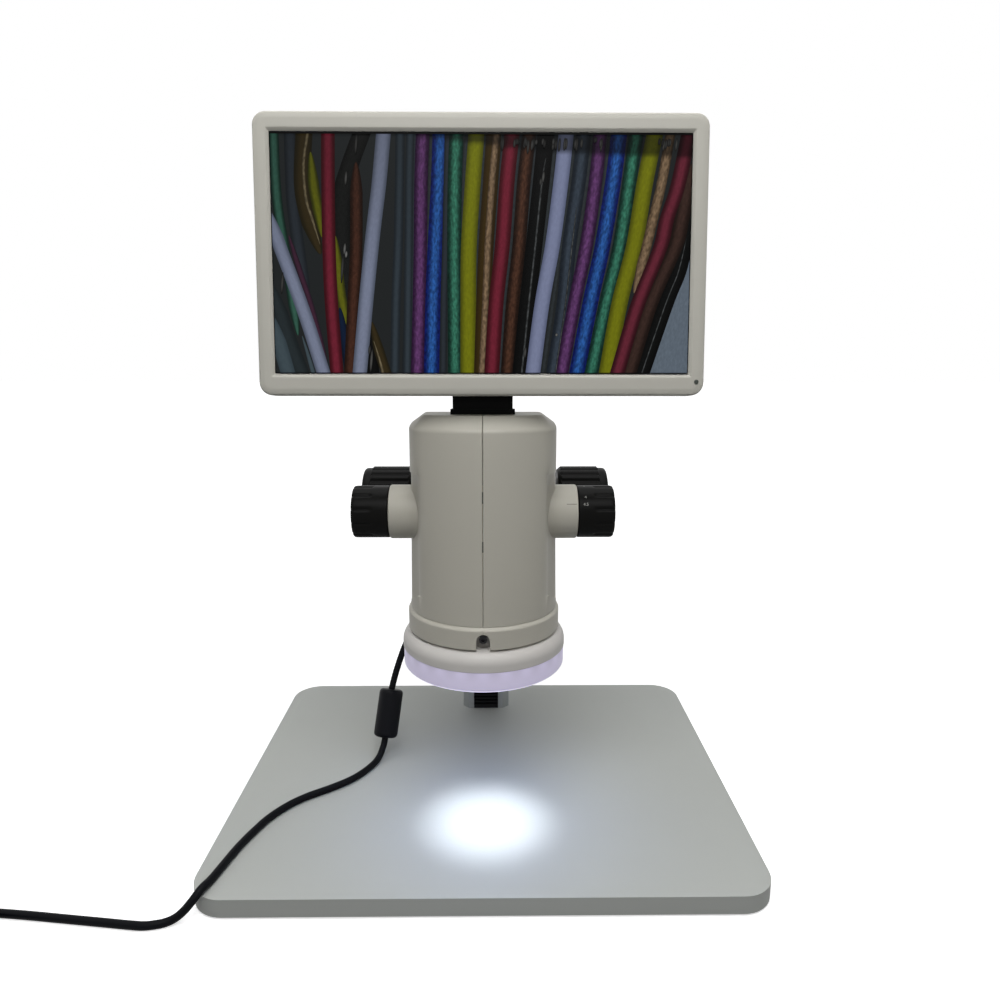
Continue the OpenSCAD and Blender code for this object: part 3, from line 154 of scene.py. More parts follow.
# By slot of the record; grains finer than about 0.3 mm are drawn that coarse, so that they show
MATERIALS = {
    # light grey powder coat on steel: an even, dull sheen over a faint orange peel
    "base_paint": material(
        "base_powder_coat", "b4b7b3", 0.50, grain=0.010, grain_mm=0.6, mottle=0.02, Specular_IOR_Level=0.3
    ),
    # cream satin paint on cast aluminium: broad, soft highlights over slightly uneven metal
    "cream_paint": material(
        "cream_satin_paint", "b9b6ab", 0.50, grain=0.012, grain_mm=0.8, Specular_IOR_Level=0.3
    ),
    # cream plastic from a finely textured mould: soft highlights and an almost even tone
    "cream_plastic": material(
        "cream_moulded_plastic", "bbb8ad", 0.45, grain=0.008, grain_mm=0.4, mottle=0.015, Specular_IOR_Level=0.3
    ),
    # pale grey moulded plastic: duller than the head, so the display's frame is one even band
    "display_plastic": material(
        "pale_display_plastic", "b9b7ae", 0.50, grain=0.010, grain_mm=0.3, Specular_IOR_Level=0.25
    ),
    # clear anodised aluminium, drawn through a die: pale, with blurred reflections
    "column_metal": material("anodised_aluminium", "b6b9bb", 0.34, Metallic=1.0),
    # satin black paint on metal: almost black, with a weak, wide glint
    "black_metal": material("satin_black_paint", "040404", 0.45, Specular_IOR_Level=0.05),
    # blackened steel: dark teeth with thin metallic edges
    "rack_steel": material("blackened_steel", "17181a", 0.42, Metallic=0.6),
    # ground steel: bright, fairly sharp reflections
    "shaft_steel": material("ground_steel", "a9abad", 0.26, Metallic=1.0),
    # black oxide on steel: dark screw heads with a dim glint
    "screw_steel": material("black_oxide_steel", "1c1c1e", 0.36, Metallic=0.7),
    # zinc plating: bright screw heads
    "bright_screw": material("zinc_plated_steel", "b9bbb8", 0.28, Metallic=1.0),
    # turned brass: warm yellow reflections
    "brass": material("turned_brass", "c3a35a", 0.30, Metallic=1.0),
    # cast aluminium, left rough: grey, with no clear reflection
    "frame_metal": material("cast_aluminium", "8d9093", 0.50, Metallic=1.0, grain=0.02),
    # coated optical glass: clear, with a blue cast
    "lens_glass": material("coated_glass", "9fb2c4", 0.03, Transmission_Weight=0.9, IOR=1.52),
    # green solder mask: smooth, with a mild gloss
    "circuit_board": material("green_circuit_board", "245c3a", 0.45),
    # light-emitting diodes, lit: cool white points
    "led_white": material(
        "lit_diode", "f6f4ff", 0.4, Emission_Color=linear("f2f2ff"), Emission_Strength=4.0
    ),
    # milky plastic: a soft lilac band, to which glow() adds the light from inside
    "diffuser": material("lit_diffuser", "c9c2d8", 0.45),
    # black moulded plastic of the knobs: near black, with a faint sheen along the ribs
    "knob_plastic": material("black_knob_plastic", "060605", 0.40, Specular_IOR_Level=0.07),
    # coated panel round the picture: black, with hardly a reflection
    "screen": material("display_glass", "020203", 0.25, Specular_IOR_Level=0.06),
    # clear light pipe, unlit: a small dark dot with a sharp glint
    "indicator": material("light_pipe", "2c332c", 0.2),
    # dark grey moulded caps: plain, slightly glossy
    "button_plastic": material("grey_button_plastic", "3a3b3d", 0.45),
    # black rubber: matt, with no highlight to speak of
    "foot_rubber": material("foot_rubber", "151516", 0.75),
    # flexible black jacket: one soft, dim line of light along the lead
    "cord_rubber": material("cord_jacket", "05060a", 0.45, Specular_IOR_Level=0.08),
    # black moulded plastic of the plugs and the bead: a little glossier than the lead
    "cord_plastic": material("black_plug_plastic", "07080d", 0.42, Specular_IOR_Level=0.10),
}
# whiter moulded plastic: the ring light's housing stands out from the collar above it
RING_WHITE = material(
    "white_ring_plastic", "cdcac6", 0.45, grain=0.008, grain_mm=0.4, Specular_IOR_Level=0.3
)
# matt white ink: a plain flat tone for the scale's numbers; the index line's flat dark tone is painted shade of
# an engraved groove
INK_WHITE = material("white_ink", "8f8f8a", 0.6)
INDEX_GROOVE_SHADE = material("painted_index_groove_shade", "6f6c60", 0.6)
# dull grey moulded plastic: dark specks where a clip bridges the parting line
CLIP = material("dull_grey_plastic", "3c3b36", 0.8)


# ------------------------------------------------------------------ mesh tools


def grid(rows, columns, start=0, around=False, over=False):
    """Quads of a grid of points, numbered row by row from start.

    around closes each row on itself, and over joins the last row to the first.
    """
    i = np.arange(rows if over else rows - 1)[:, None]
    j = np.arange(columns if around else columns - 1)[None, :]
    k, n = (i + 1) % rows, (j + 1) % columns
    corners = [i * columns + j, i * columns + n, k * columns + n, k * columns + j]
    return start + np.stack(corners, -1).reshape(-1, 4)


def placed(name, data):
    """A new object in the scene, at the origin, with this mesh, lamp, camera or text."""
    made = bpy.data.objects.new(name, data)
    bpy.context.scene.collection.objects.link(made)
    return made


def solid(name, parts, body, slot, sharp=32.0, weld=True, look=None, stands_for=()):
    """One object from parts, each (points in mm, quads or triangles); faces are welded and turned outward."""
    points = np.concatenate([np.asarray(p, float).reshape(-1, 3) for p, _ in parts]) * MM
    corners, starts = [], []
    first = at = 0
    for p, faces in parts:
        faces = np.asarray(faces, int)
        corners.append((faces + first).ravel())
        starts.append(at + np.arange(len(faces)) * faces.shape[1])
        at += faces.size
        first += len(np.asarray(p).reshape(-1, 3))
    corners, starts = np.concatenate(corners), np.concatenate(starts)
    mesh = bpy.data.meshes.new(name)
    mesh.vertices.add(len(points))
    mesh.vertices.foreach_set("co", points.astype(np.float32).ravel())
    mesh.loops.add(len(corners))
    mesh.loops.foreach_set("vertex_index", corners.astype(np.int32))
    mesh.polygons.add(len(starts))
    mesh.polygons.foreach_set("loop_start", starts.astype(np.int32))
    mesh.update(calc_edges=True)
    if weld:
        work = bmesh.new()
        work.from_mesh(mesh)
        bmesh.ops.remove_doubles(work, verts=work.verts, dist=WELD)
        bmesh.ops.dissolve_degenerate(work, edges=work.edges, dist=WELD / 2)
        bmesh.ops.recalc_face_normals(work, faces=work.faces)
        work.to_mesh(mesh)
        work.free()
    return finished(name, mesh, body, slot, sharp, look, stands_for)


def finished(name, mesh, body, slot, sharp, look=None, stands_for=()):
    """Makes a mesh a piece, with its finish, the body it rides on and what it replaces.

    Edges that turn by more than sharp degrees stay sharp.
    """
    mesh.shade_smooth()
    mesh.set_sharp_from_angle(angle=math.radians(sharp))
    mesh.materials.clear()
    mesh.materials.append(look or MATERIALS[slot])
    made = placed(name, mesh)
    if body:
        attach(made, body)
    if stands_for:
        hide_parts(*stands_for)
    return made


# Edges of a CAD piece that turn by more than this, in degrees, are rounded; smaller turns are left smooth
ROUND_OVER, SMOOTH_UNDER = 30.0, 25.0


def softened(node, width):
    """A CAD piece with rounded edges: welded, its flat parts made whole, then bevelled by width mm."""
    mesh = NODES[node].data.copy()
    work = bmesh.new()
    work.from_mesh(mesh)
    bmesh.ops.remove_doubles(work, verts=work.verts, dist=WELD)
    bmesh.ops.dissolve_limit(work, angle_limit=math.radians(0.5), verts=work.verts, edges=work.edges)
    work.to_mesh(mesh)
    work.free()
    made = finished("round_" + node, mesh, BODIES[node], SLOTS[node], SMOOTH_UNDER, stands_for=(node,))
    bevel = made.modifiers.new("edges", "BEVEL")
    bevel.width = width * MM
    bevel.segments = 2
    bevel.limit_method = "ANGLE"
    bevel.angle_limit = math.radians(ROUND_OVER)
    bevel.harden_normals = True
    return made


def bezier(a, corner, b, t):
    """A quadratic Bezier from a to b, drawn toward corner: (1 - t)^2 a + 2 t (1 - t) corner + t^2 b."""
    return (1 - t) ** 2 * a + 2 * t * (1 - t) * corner + t**2 * b


def filleted(points, radii, steps=4, closed=True):
    """A polyline with its corners cut back by radii mm and bridged with quadratic Bezier arcs."""
    points = np.asarray(points, float)
    radii = np.broadcast_to(radii, len(points))
    t = np.linspace(0, 1, steps + 1)[:, None]
    out = []
    for i, (here, radius) in enumerate(zip(points, radii)):
        ends = not closed and i in (0, len(points) - 1)
        if radius <= 0 or ends:
            out.append(here[None])
            continue
        before, after = points[i - 1], points[(i + 1) % len(points)]
        a = here + (before - here) * min(radius / np.linalg.norm(before - here), 0.5)
        b = here + (after - here) * min(radius / np.linalg.norm(after - here), 0.5)
        out.append(bezier(a, here, b, t))
    return np.concatenate(out)


def lathe(profile, steps=128):
    """Turns a closed profile of (radius, height) about Z: x = r cos a, y = r sin a."""
    profile = np.asarray(profile, float)
    a = np.arange(steps) * 2 * np.pi / steps
    r, z = profile[:, :1], profile[:, 1:]
    points = np.stack([r * np.cos(a), r * np.sin(a), z + 0 * a], -1)
    return points.reshape(-1, 3), grid(len(profile), steps, around=True, over=True)


def box(x, y, z):
    """A box from its three ranges, as (points, quads)."""
    points = [(a, b, c) for c in z for b in y for a in x]
    return points, [(0, 2, 3, 1), (4, 5, 7, 6), (0, 1, 5, 4), (2, 6, 7, 3), (0, 4, 6, 2), (1, 3, 7, 5)]

def about_axis(part):
    """Moves a turned part to the optical axis."""
    return part[0] + [0, AXIS_Y, 0], part[1]


def sideways(part, side, y, z):
    """Lays a part along X, its height becoming the distance from the middle, on the left when side is -1."""
    p = part[0]
    return np.stack([side * p[:, 2], y + p[:, 0], z + p[:, 1]], -1), part[1]


def between(part, start, end):
    """Turns a part made about Z so that its axis runs from start to end, with its zero height at start."""
    way = np.subtract(end, start) / np.linalg.norm(np.subtract(end, start))
    across = np.cross(way, [1.0, 0.0, 0.0])
    across /= np.linalg.norm(across)
    axes = np.stack([across, np.cross(way, across), way])
    return part[0] @ axes + start, part[1]


def in_display(points):
    """Moves points from the display's own frame (X right, Y back, Z up) to the model's, tilted back by TILT."""
    x, y, z = np.moveaxis(np.asarray(points, float), -1, 0)
    c, s = math.cos(TILT), math.sin(TILT)
    return np.stack([x + SCREEN[0], SCREEN[1] + c * y + s * z, SCREEN[2] - s * y + c * z], -1)


def standing(right, up, back, place):
    """The matrix of a camera or a lamp at place, in mm, from its own three axes; it looks away from back."""
    return Matrix([*([right[i], up[i], back[i], place[i] * MM] for i in range(3)), [0, 0, 0, 1]])


# ------------------------------------------------------------------ camera

# The eye, in mm, and the angles down, to the right and round the view, in degrees
EYE = (4.9, -538.4, 333.0)
DOWN, RIGHTWARD, ROLL = 11.593, 0.656, 0.072
# Focal length and sensor width in mm, and the farthest thing drawn, in metres
LENS, SENSOR, FAR = 27.72, 36.0, 50.0


def camera():
    """A camera at EYE: forward is tilted down, turned to the right, then rolled about itself."""
    d, w, r = (math.radians(v) for v in (DOWN, RIGHTWARD, ROLL))
    forward = np.array([math.sin(w) * math.cos(d), math.cos(w) * math.cos(d), -math.sin(d)])
    right = np.array([math.cos(w), -math.sin(w), 0.0])
    up = np.cross(right, forward)
    rolled = right * math.cos(r) + up * math.sin(r)
    upright = up * math.cos(r) - right * math.sin(r)
    data = bpy.data.cameras.new("view")
    data.lens = LENS
    data.sensor_width = SENSOR
    data.clip_end = FAR
    made = placed("view", data)
    made.matrix_world = standing(rolled, upright, -forward, EYE)
    bpy.context.scene.camera = made


camera()


# ------------------------------------------------------------------ cord

CORD_D = 5.0
COIL = (-310.0, -170.0)
# The coil's outer radius, its pitch, and how much wider the upper layer starts
COIL_R, COIL_PITCH, COIL_STEP = 32, 5.1, 0.8
# Turns: the lower layer, the climb onto it, and all of them
LOWER_TURNS, CLIMB_TURNS, COIL_TURNS = 2.0, 0.3, 4.26
# Places the lead runs through: from the head's socket to the bead, from the bead to the coil, and to the plug
DROP = [
    (-31.5, 29.5, 190), (-31.5, 36, 189.8), (-32.2, 43, 186), (-34.5, 49, 180), (-38.5, 53, 166),
    (-44, 52, 148), (-50.5, 49, 130), (-57.5, 44, 110), (-66, 37.5, 91), (-73.8, 28, 64.8),
]
RUN = [
    (-78.2, 15, 30.6), (-80, 10, 23), (-82.5, 4, 18.5), (-86, -3, 17), (-92, -14, 17), (-100, -24, 17),
    (-112, -34, 17), (-126, -44, 17), (-137, -55, 17), (-146, -69, 17), (-152, -84, 17), (-157, -100, 17),
    (-160.5, -116, 17), (-163.5, -130, 17.1), (-166, -138, 17.4), (-170, -143.5, 13.2),
    (-175, -145.5, 7.8), (-180.5, -146.5, 3.8), (-187, -148.5, 2.5), (-195, -150, 2.5),
    (-203, -149.5, 2.5), (-222, -147, 2.5), (-245, -144, 2.5), (-268, -141, 2.5), (-290, -138.6, 2.5),
    (-298, -138, 2.5),
]
TAIL = [(-342, -172, 7.6), (-342.5, -182, 6.6), (-342, -194, 4.6), (-341, -205, 4.0), (-341, -215, 4.0)]
# The bead: its length, the radii of its bore and outside, and how far its edges are rounded
BEAD_L = math.dist(DROP[-1], RUN[0])
BEAD_BORE, BEAD_R, BEAD_ROUND = 2.4, 9.2, 3.6


def coil_points():
    """A flat spiral inward on the table, a climb by one pitch, then a spiral outward on top of it.

    The radius falls by COIL_PITCH a turn from COIL_R, rises by COIL_STEP in the climb, then grows back.
    """
    turn = np.linspace(0, COIL_TURNS, 220)
    climbed = LOWER_TURNS + CLIMB_TURNS
    climb = np.clip((turn - LOWER_TURNS) / CLIMB_TURNS, 0, 1)
    climb = climb * climb * (3 - 2 * climb)
    inmost = COIL_R - COIL_PITCH * LOWER_TURNS
    inward = COIL_R - COIL_PITCH * turn
    rising = inmost + COIL_STEP * climb
    outward = rising + (turn - climbed) * (COIL_R - inmost - COIL_STEP) / (COIL_TURNS - climbed)
    radius = np.where(turn < LOWER_TURNS, inward, np.where(turn < climbed, rising, outward))
    angle = np.radians(90) + turn * 2 * np.pi
    height = CORD_D / 2 + COIL_PITCH * climb
    return np.stack([COIL[0] + radius * np.cos(angle), COIL[1] + radius * np.sin(angle), height], -1)


def flowing(points, samples=6):
    """A Catmull-Rom curve through the points: each span is a cubic set by its two ends and their neighbours."""
    p = np.asarray(points, float)
    p = np.concatenate([[2 * p[0] - p[1]], p, [2 * p[-1] - p[-2]]])
    t = np.arange(samples)[:, None] / samples
    spans = []
    for a, b, c, d in zip(p[:-3], p[1:-2], p[2:-1], p[3:]):
        square, cube = 2 * a - 5 * b + 4 * c - d, 3 * b - a - 3 * c + d
        spans.append(0.5 * (2 * b + (c - a) * t + square * t**2 + cube * t**3))
    return np.concatenate([*spans, p[-2:-1]])


def tube(path, diameter, sides=16):
    """A round tube: at each point of the path a ring square to it, its start carried along without twist."""
    heading = np.gradient(path, axis=0)
    heading /= np.linalg.norm(heading, axis=1)[:, None]
    across = np.cross(heading[0], [0.0, 0.0, 1.0])
    across /= np.linalg.norm(across)
    frames = []
    for way in heading:
        across = across - way * (across @ way)
        across /= np.linalg.norm(across)
        frames.append(across)
    u = np.array(frames)
    v = np.cross(heading, u)
    a = np.arange(sides) * 2 * np.pi / sides
    ring = u[:, None] * np.cos(a)[None, :, None] + v[:, None] * np.sin(a)[None, :, None]
    points = (path[:, None] + diameter / 2 * ring).reshape(-1, 3)
    ends = np.array([path[0], path[-1]])
    n = len(points)
    k = np.arange(sides)
    last = n - sides
    caps = np.concatenate(
        [
            np.stack([np.full(sides, n), (k + 1) % sides, k], -1),
            np.stack([np.full(sides, n + 1), last + k, last + (k + 1) % sides], -1),
        ]
    )
    everything = np.concatenate([points, ends])
    return [(everything, grid(len(path), sides, around=True)), (everything, caps)]


def cord():
    """The power lead in one piece, from the strain relief through the bead and the coil to its plug."""
    relief = softened("cord_plug", 0.4)
    section = [(BEAD_BORE, 0), (BEAD_R, 0), (BEAD_R, BEAD_L), (BEAD_BORE, BEAD_L)]
    shape = filleted(section, [0, BEAD_ROUND, BEAD_ROUND, 0], steps=8)
    bead = solid(
        "lead_bead", [between(lathe(shape, 96), DROP[-1], RUN[0])], "stand", "cord_plastic",
        stands_for=("ferrite",),
    )
    plug = softened("usb_plug", 0.7)
    path = flowing(np.concatenate([DROP, RUN]))
    path = np.concatenate([path, coil_points()[1:], flowing(TAIL)[1:]])
    # nowhere lower than on the table
    path[:, 2] = np.maximum(path[:, 2], CORD_D / 2)
    lead = solid(
        "power_lead", tube(path, CORD_D), None, "cord_rubber", stands_for=("cord_drop", "cord_run", "cord_coil")
    )
    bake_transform(lead)


cord()


# ------------------------------------------------------------------ head shells

HEAD_R = 46.0
# Front corner of the plan at the collar and at the shoulder, and the front's radius there
LOW_X, FRONT_X, FRONT_R = 38.7, 37.0, 80.0
FRONT_CENTRE_Y = AXIS_Y - HEAD_R + FRONT_R
FRONT_Y = FRONT_CENTRE_Y - math.sqrt(FRONT_R**2 - FRONT_X**2)
# Half width at the shoulder, to which the side leans in; round the back the lean fades out down to LEAN_X
SIDE_X, LEAN_X = 43.2, 36.2
# The roof falls by SLOPE, in mm for each mm, behind RIDGE_Y
RIDGE_Y, SLOPE = -79.5, 17.5 / 71.5
# Chamfer of the roof's front edge; at the sides it is wider and lower
CHAMFER, SIDE_CHAMFER, SIDE_LIFT = 8.0, 9.2, 1.3
CORNER_IN, CORNER_BACK = 4.8, 4.5
SHOULDER_Z = ROOF_Z - CHAMFER
# Behind the side its wider chamfer fades out, over so many columns and from so much of one before the first
FADE_COLUMNS, FADE_START = 9, 0.2
# How far the edges over and under the chamfer are cut back to round them
SHOULDER_CUT, ROOF_CUT = 1.6, 1.4
# The recess round the boss: its depth at the side, and the shares of the way back and out at which its floor
# turns from running straight back to slanting out
RECESS_T, RECESS_TURN, RECESS_OUT = 0.1, 0.5, 0.08
# Its lower and upper end, the height its rim takes, and the step up of its lower end between two places
RECESS_Z, RECESS_RIM = (173.5, 258.5), 0.5
RECESS_STEP_Z, RECESS_STEP_Y = 8.9, (-93.0, -75.0)
# Half the parting line's width, the radius of its edge, and columns close enough to draw that edge
SEAM, SEAM_ROUND = 0.1, 0.6
SEAM_X = (SEAM, 0.13, 0.22, 0.38, 0.55, 0.7, 1.2, 2.2)
SHELL_T = 2.3
# Openings in the back, for the arm and for the lead's socket, and how deep they are sunk
ARM_X, ARM_Z = 22.35, (184.7, 255.3)
SOCKET_X, SOCKET_Z = (26.9, 36.1), (185.4, 194.6)
OPENING_T = 1.9
# A point inside the head, from which its outer faces turn away
INSIDE = (0.0, -50.0, 225.0)
# The arched notch in the collar's front: the height of its middle and its half width
ARCH_Z, ARCH = 162.5, 4.0
# Clips that show in the parting line: heights, half width, and how far behind the front they start and end
CLIP_Z = ((243.9, 250.6), (215.4, 221.7))
CLIP_X, CLIP_IN, CLIP_END = 0.42, 0.12, 1.5


def pair(edge):
    """Two columns or rows that bound an edge closely, so that it stays sharp."""
    return edge - 0.05, edge + 0.05


# Columns from the front corner to the side, as shares of the way back, and how many round the corner first
OBLIQUE = np.concatenate([[0.12, 0.14], np.linspace(0.24, 1, 8)])
BEND = 5
# Columns along the side, as shares of the way to SIDE_END_Y, then behind it, round the cut corner and along
# the back
SIDE_SHARES, SIDE_END_Y = np.array([0.25, 0.5, 0.75, 1.0]), -20.5
BEHIND_Y = (-20.0, -17.0, -14.4, -14.0)
CUT_CORNER = [(45.7, -13.5), (43, -11), (40.3, -8.3)]
BACK_X = [
    40, *pair(SOCKET_X[1])[::-1], *pair(SOCKET_X[0])[::-1], *pair(ARM_X)[::-1], 15, 8, 4, *SEAM_X[::-1]
]
# Rows of the wall above the recess's lower end, and how near the middle the rows of the roof reach
WALL_Z = [
    *pair(ARM_Z[0]), *pair(SOCKET_Z[0]), *pair(SOCKET_Z[1]), 205, 217, ZOOM_Z, 242, *pair(ARM_Z[1]),
    RECESS_Z[1] - RECESS_RIM, RECESS_Z[1], 264.0,
]
ROOF_X = (24, 12, 5, *SEAM_X[::-1])


def fall(y):
    """How far the roof has dropped at y."""
    return SLOPE * np.maximum(0, y - RIDGE_Y)


def outline():
    """Columns of the half plan from the front seam to the front corner, at three heights.

    Returns three arrays of (x, y): a circle about the optical axis at the collar, a flatter arc of FRONT_R at
    the shoulder, and, for the roof's edge, that arc set back by the chamfer, which shrinks toward the corner as
    the square of x.
    """
    share = np.append(np.linspace(0.1, 0.93, 20), 1.0)
    low_x, x = (np.concatenate([SEAM_X, share * reach]) for reach in (LOW_X, FRONT_X))
    low = np.stack([low_x, AXIS_Y - np.sqrt(HEAD_R**2 - low_x**2)], -1)
    shoulder = np.stack([x, FRONT_CENTRE_Y - np.sqrt(FRONT_R**2 - x**2)], -1)
    out = (x / FRONT_X) ** 2
    top = shoulder + np.stack([-CORNER_IN * out, CHAMFER - (CHAMFER - CORNER_BACK) * out], -1)
    return low, shoulder, top


def oblique(t, sunk=False):
    """Points between the front corner and the side in one row: t is 0 at the collar and 1 at the shoulder.

    With k the share of the way back, the shell's x follows the collar's circle below and rounds off above as
    1 - (1 - k)^4. The floor of the recess runs nearly straight back to RECESS_TURN and then slants out to the
    side.
    """
    angle = -math.acos(LOW_X / HEAD_R) * (1 - OBLIQUE)
    low = np.stack([HEAD_R * np.cos(angle), AXIS_Y + HEAD_R * np.sin(angle)], -1)
    out = 1 - (1 - OBLIQUE) ** 4
    high = np.stack([FRONT_X + (SIDE_X - FRONT_X) * out, FRONT_Y + (RIDGE_Y - FRONT_Y) * OBLIQUE], -1)
    points = (1 - t) * low + t * high
    if sunk:
        x = (1 - t) * LOW_X + t * FRONT_X
        share = np.interp(OBLIQUE, [0, RECESS_TURN, 1], [0, RECESS_OUT, 1])
        points[:, 0] = x + (points[-1, 0] - RECESS_T - x) * share
    return points


def rest_of_plan(t):
    """The side, the cut corner and the back, as (x, y); the side leans in from the collar to the shoulder."""
    start_y = AXIS_Y + (RIDGE_Y - AXIS_Y) * t
    span = SIDE_END_Y - start_y
    side = [(HEAD_R, start_y + span * k) for k in SIDE_SHARES] + [(HEAD_R, y) for y in BEHIND_Y]
    rest = np.array(side + CUT_CORNER + [(x, BACK_Y) for x in BACK_X])
    rest[:, 0] -= (HEAD_R - SIDE_X) * t * np.clip((rest[:, 0] - LEAN_X) / (HEAD_R - LEAN_X), 0, 1)
    return rest


def shell_grid():
    """The outer surface of the right half as rows of points, and how many of the rows are its wall.

    The rows run from the collar up, over the chamfer, and across the roof to its seam.
    """
    low, shoulder, top = outline()
    nose = len(low) - 1
    side = nose + BEND + len(OBLIQUE)
    behind = side + len(SIDE_SHARES)
    w = (np.arange(1, BEND + 1) / (BEND + 1))[:, None]

    def plan(t, sunk=False):
        """One row's (x, y) at the share t of the way from the collar to the shoulder, or on the recess's floor.

        The front corner is a Bezier from the last column of the front to the first of the oblique side.
        """
        front = low * (1 - t) + shoulder * t
        beside = oblique(t, sunk)
        rest = rest_of_plan(t)
        rest[:len(SIDE_SHARES), 0] -= RECESS_T * sunk
        return np.concatenate([front[:-1], bezier(front[-2], front[-1], beside[0], w), beside, rest])

    high = plan(1.0)
    columns = len(high)
    # 0 at the front corner, 1 from the ridge on, and 0 again at the back
    sideness = np.clip((high[:, 1] - FRONT_Y) / (RIDGE_Y - FRONT_Y), 0, 1)
    sideness[:nose] = 0
    kept = FADE_COLUMNS - FADE_START - np.arange(columns - behind)
    sideness[behind:] = np.clip(kept / FADE_COLUMNS, 0, 1)
    step = np.clip((plan(0.1)[:, 1] - RECESS_STEP_Y[0]) / np.ptp(RECESS_STEP_Y), 0, 1)
    lower_end = RECESS_Z[0] + RECESS_STEP_Z * (1 - step)
    heights = [np.full(columns, HEAD_Z), np.full(columns, HEAD_Z + 1.2), lower_end, lower_end + RECESS_RIM]
    heights += [np.full(columns, z) for z in WALL_Z]
    # the recess's floor: from the fourth row to the last but two
    floor_rows = range(3, len(heights) - 2)
    wall = []
    for row, z in enumerate(heights):
        share = (z - HEAD_Z) / (SHOULDER_Z - HEAD_Z)
        sunk = row in floor_rows
        if np.ptp(share):
            plans = np.array([plan(s, sunk)[k] for k, s in enumerate(share)])
        else:
            plans = plan(share[0], sunk)
        wall.append(np.column_stack([plans, z]))
    wall = np.array(wall)

    edge = np.column_stack([high, SHOULDER_Z - fall(high[:, 1]) + SIDE_LIFT * sideness])
    inset = [-CORNER_IN - (SIDE_CHAMFER - CORNER_IN) * sideness, CORNER_BACK * (1 - sideness)]
    rim = high + np.stack(inset, -1)
    rim[:nose] = top[:-1]
    rim[behind:] = high[behind:]
    rim[:, 0] = np.minimum(rim[:, 0], SIDE_X - SIDE_CHAMFER)
    rim[side:, 1] = np.minimum(rim[side:, 1], BACK_Y - CHAMFER)
    rim = np.column_stack([rim, ROOF_Z - fall(rim[:, 1])])
    middle = rim.copy()
    middle[:, 0] = SEAM

    def arc(before, corner, after, cut):
        """Rows that round a corner: a Bezier that starts and ends cut mm from it."""
        ends = []
        for way in (before - corner, after - corner):
            reach = np.minimum(cut / np.maximum(np.linalg.norm(way, axis=1), 1e-6), 0.5)
            ends.append(corner + way * reach[:, None])
        return [bezier(ends[0], corner, ends[1], s) for s in (0, 0.25, 0.5, 0.75, 1)]

    over = np.array(arc(wall[-1], edge, rim, SHOULDER_CUT) + arc(edge, rim, middle, ROOF_CUT))
    roof = np.repeat(rim[None], len(ROOF_X), axis=0)
    roof[..., 0] = np.minimum(over[-1, :, 0], np.array(ROOF_X)[:, None])
    return np.concatenate([wall, over, roof]), len(heights)


def normals_of(points, level):
    """Unit normals of a grid of points: the cross product of its two directions, turned away from INSIDE.

    In the first rows, as many as level, they are kept horizontal.
    """
    along, up = np.gradient(points, axis=1), np.gradient(points, axis=0)
    up[:level] = (0, 0, 1)
    n = np.cross(along, up)
    size = np.linalg.norm(n, axis=-1, keepdims=True)
    out = points - np.array(INSIDE)
    away = out / np.linalg.norm(out, axis=-1, keepdims=True)
    n = np.where(size > 1e-7, n / np.maximum(size, 1e-12), away)
    flip = np.sign(np.einsum("ijk,ijk->ij", n, out))
    return n * np.where(flip == 0, 1, flip)[..., None]


def head_shell(side):
    """Half of the head housing: outer and inner surface joined all round their rim, with half the collar."""
    outer, wall_rows = shell_grid()
    n = normals_of(outer, wall_rows)
    # the parting line's rounded edge: a quarter circle of SEAM_ROUND
    reach = np.clip((np.abs(outer[..., 0]) - SEAM) / SEAM_ROUND, 0, 1)
    outer = outer - n * (SEAM_ROUND * (1 - np.sqrt(1 - (1 - reach) ** 2)))[..., None]
    # the openings in the back are sunk below the surface; the socket's is in the left half only
    x, y, z = outer[..., 0], outer[..., 1], outer[..., 2]
    behind = y > BACK_Y - 0.5
    arm = behind & (x < ARM_X) & (z > ARM_Z[0]) & (z < ARM_Z[1])
    socket = behind & (x > SOCKET_X[0]) & (x < SOCKET_X[1]) & (z > SOCKET_Z[0]) & (z < SOCKET_Z[1])
    y[arm | (socket & (side < 0))] -= OPENING_T
    inner = outer - n * SHELL_T
    inner[..., 0] = np.where(reach < 1, outer[..., 0], np.maximum(inner[..., 0], SEAM))
    rows, columns = outer.shape[:2]
    count = rows * columns
    index = np.arange(count).reshape(rows, columns)
    loop = np.concatenate([index[0, :-1], index[:-1, -1], index[-1, :0:-1], index[:0:-1, 0]])
    after = np.roll(loop, -1)
    rim = np.stack([loop, after, after + count, loop + count], -1)
    points = np.concatenate([outer.reshape(-1, 3), inner.reshape(-1, 3)]) * [side, 1, 1]
    faces = np.concatenate([grid(rows, columns), grid(rows, columns, start=count), rim])
    label = SIDE_NAMES[side]
    return solid(
        f"shell_{label}", [(points, faces), collar_half(side)], "head", "cream_plastic", sharp=38,
        stands_for=(f"head_shell_{label}",),
    )


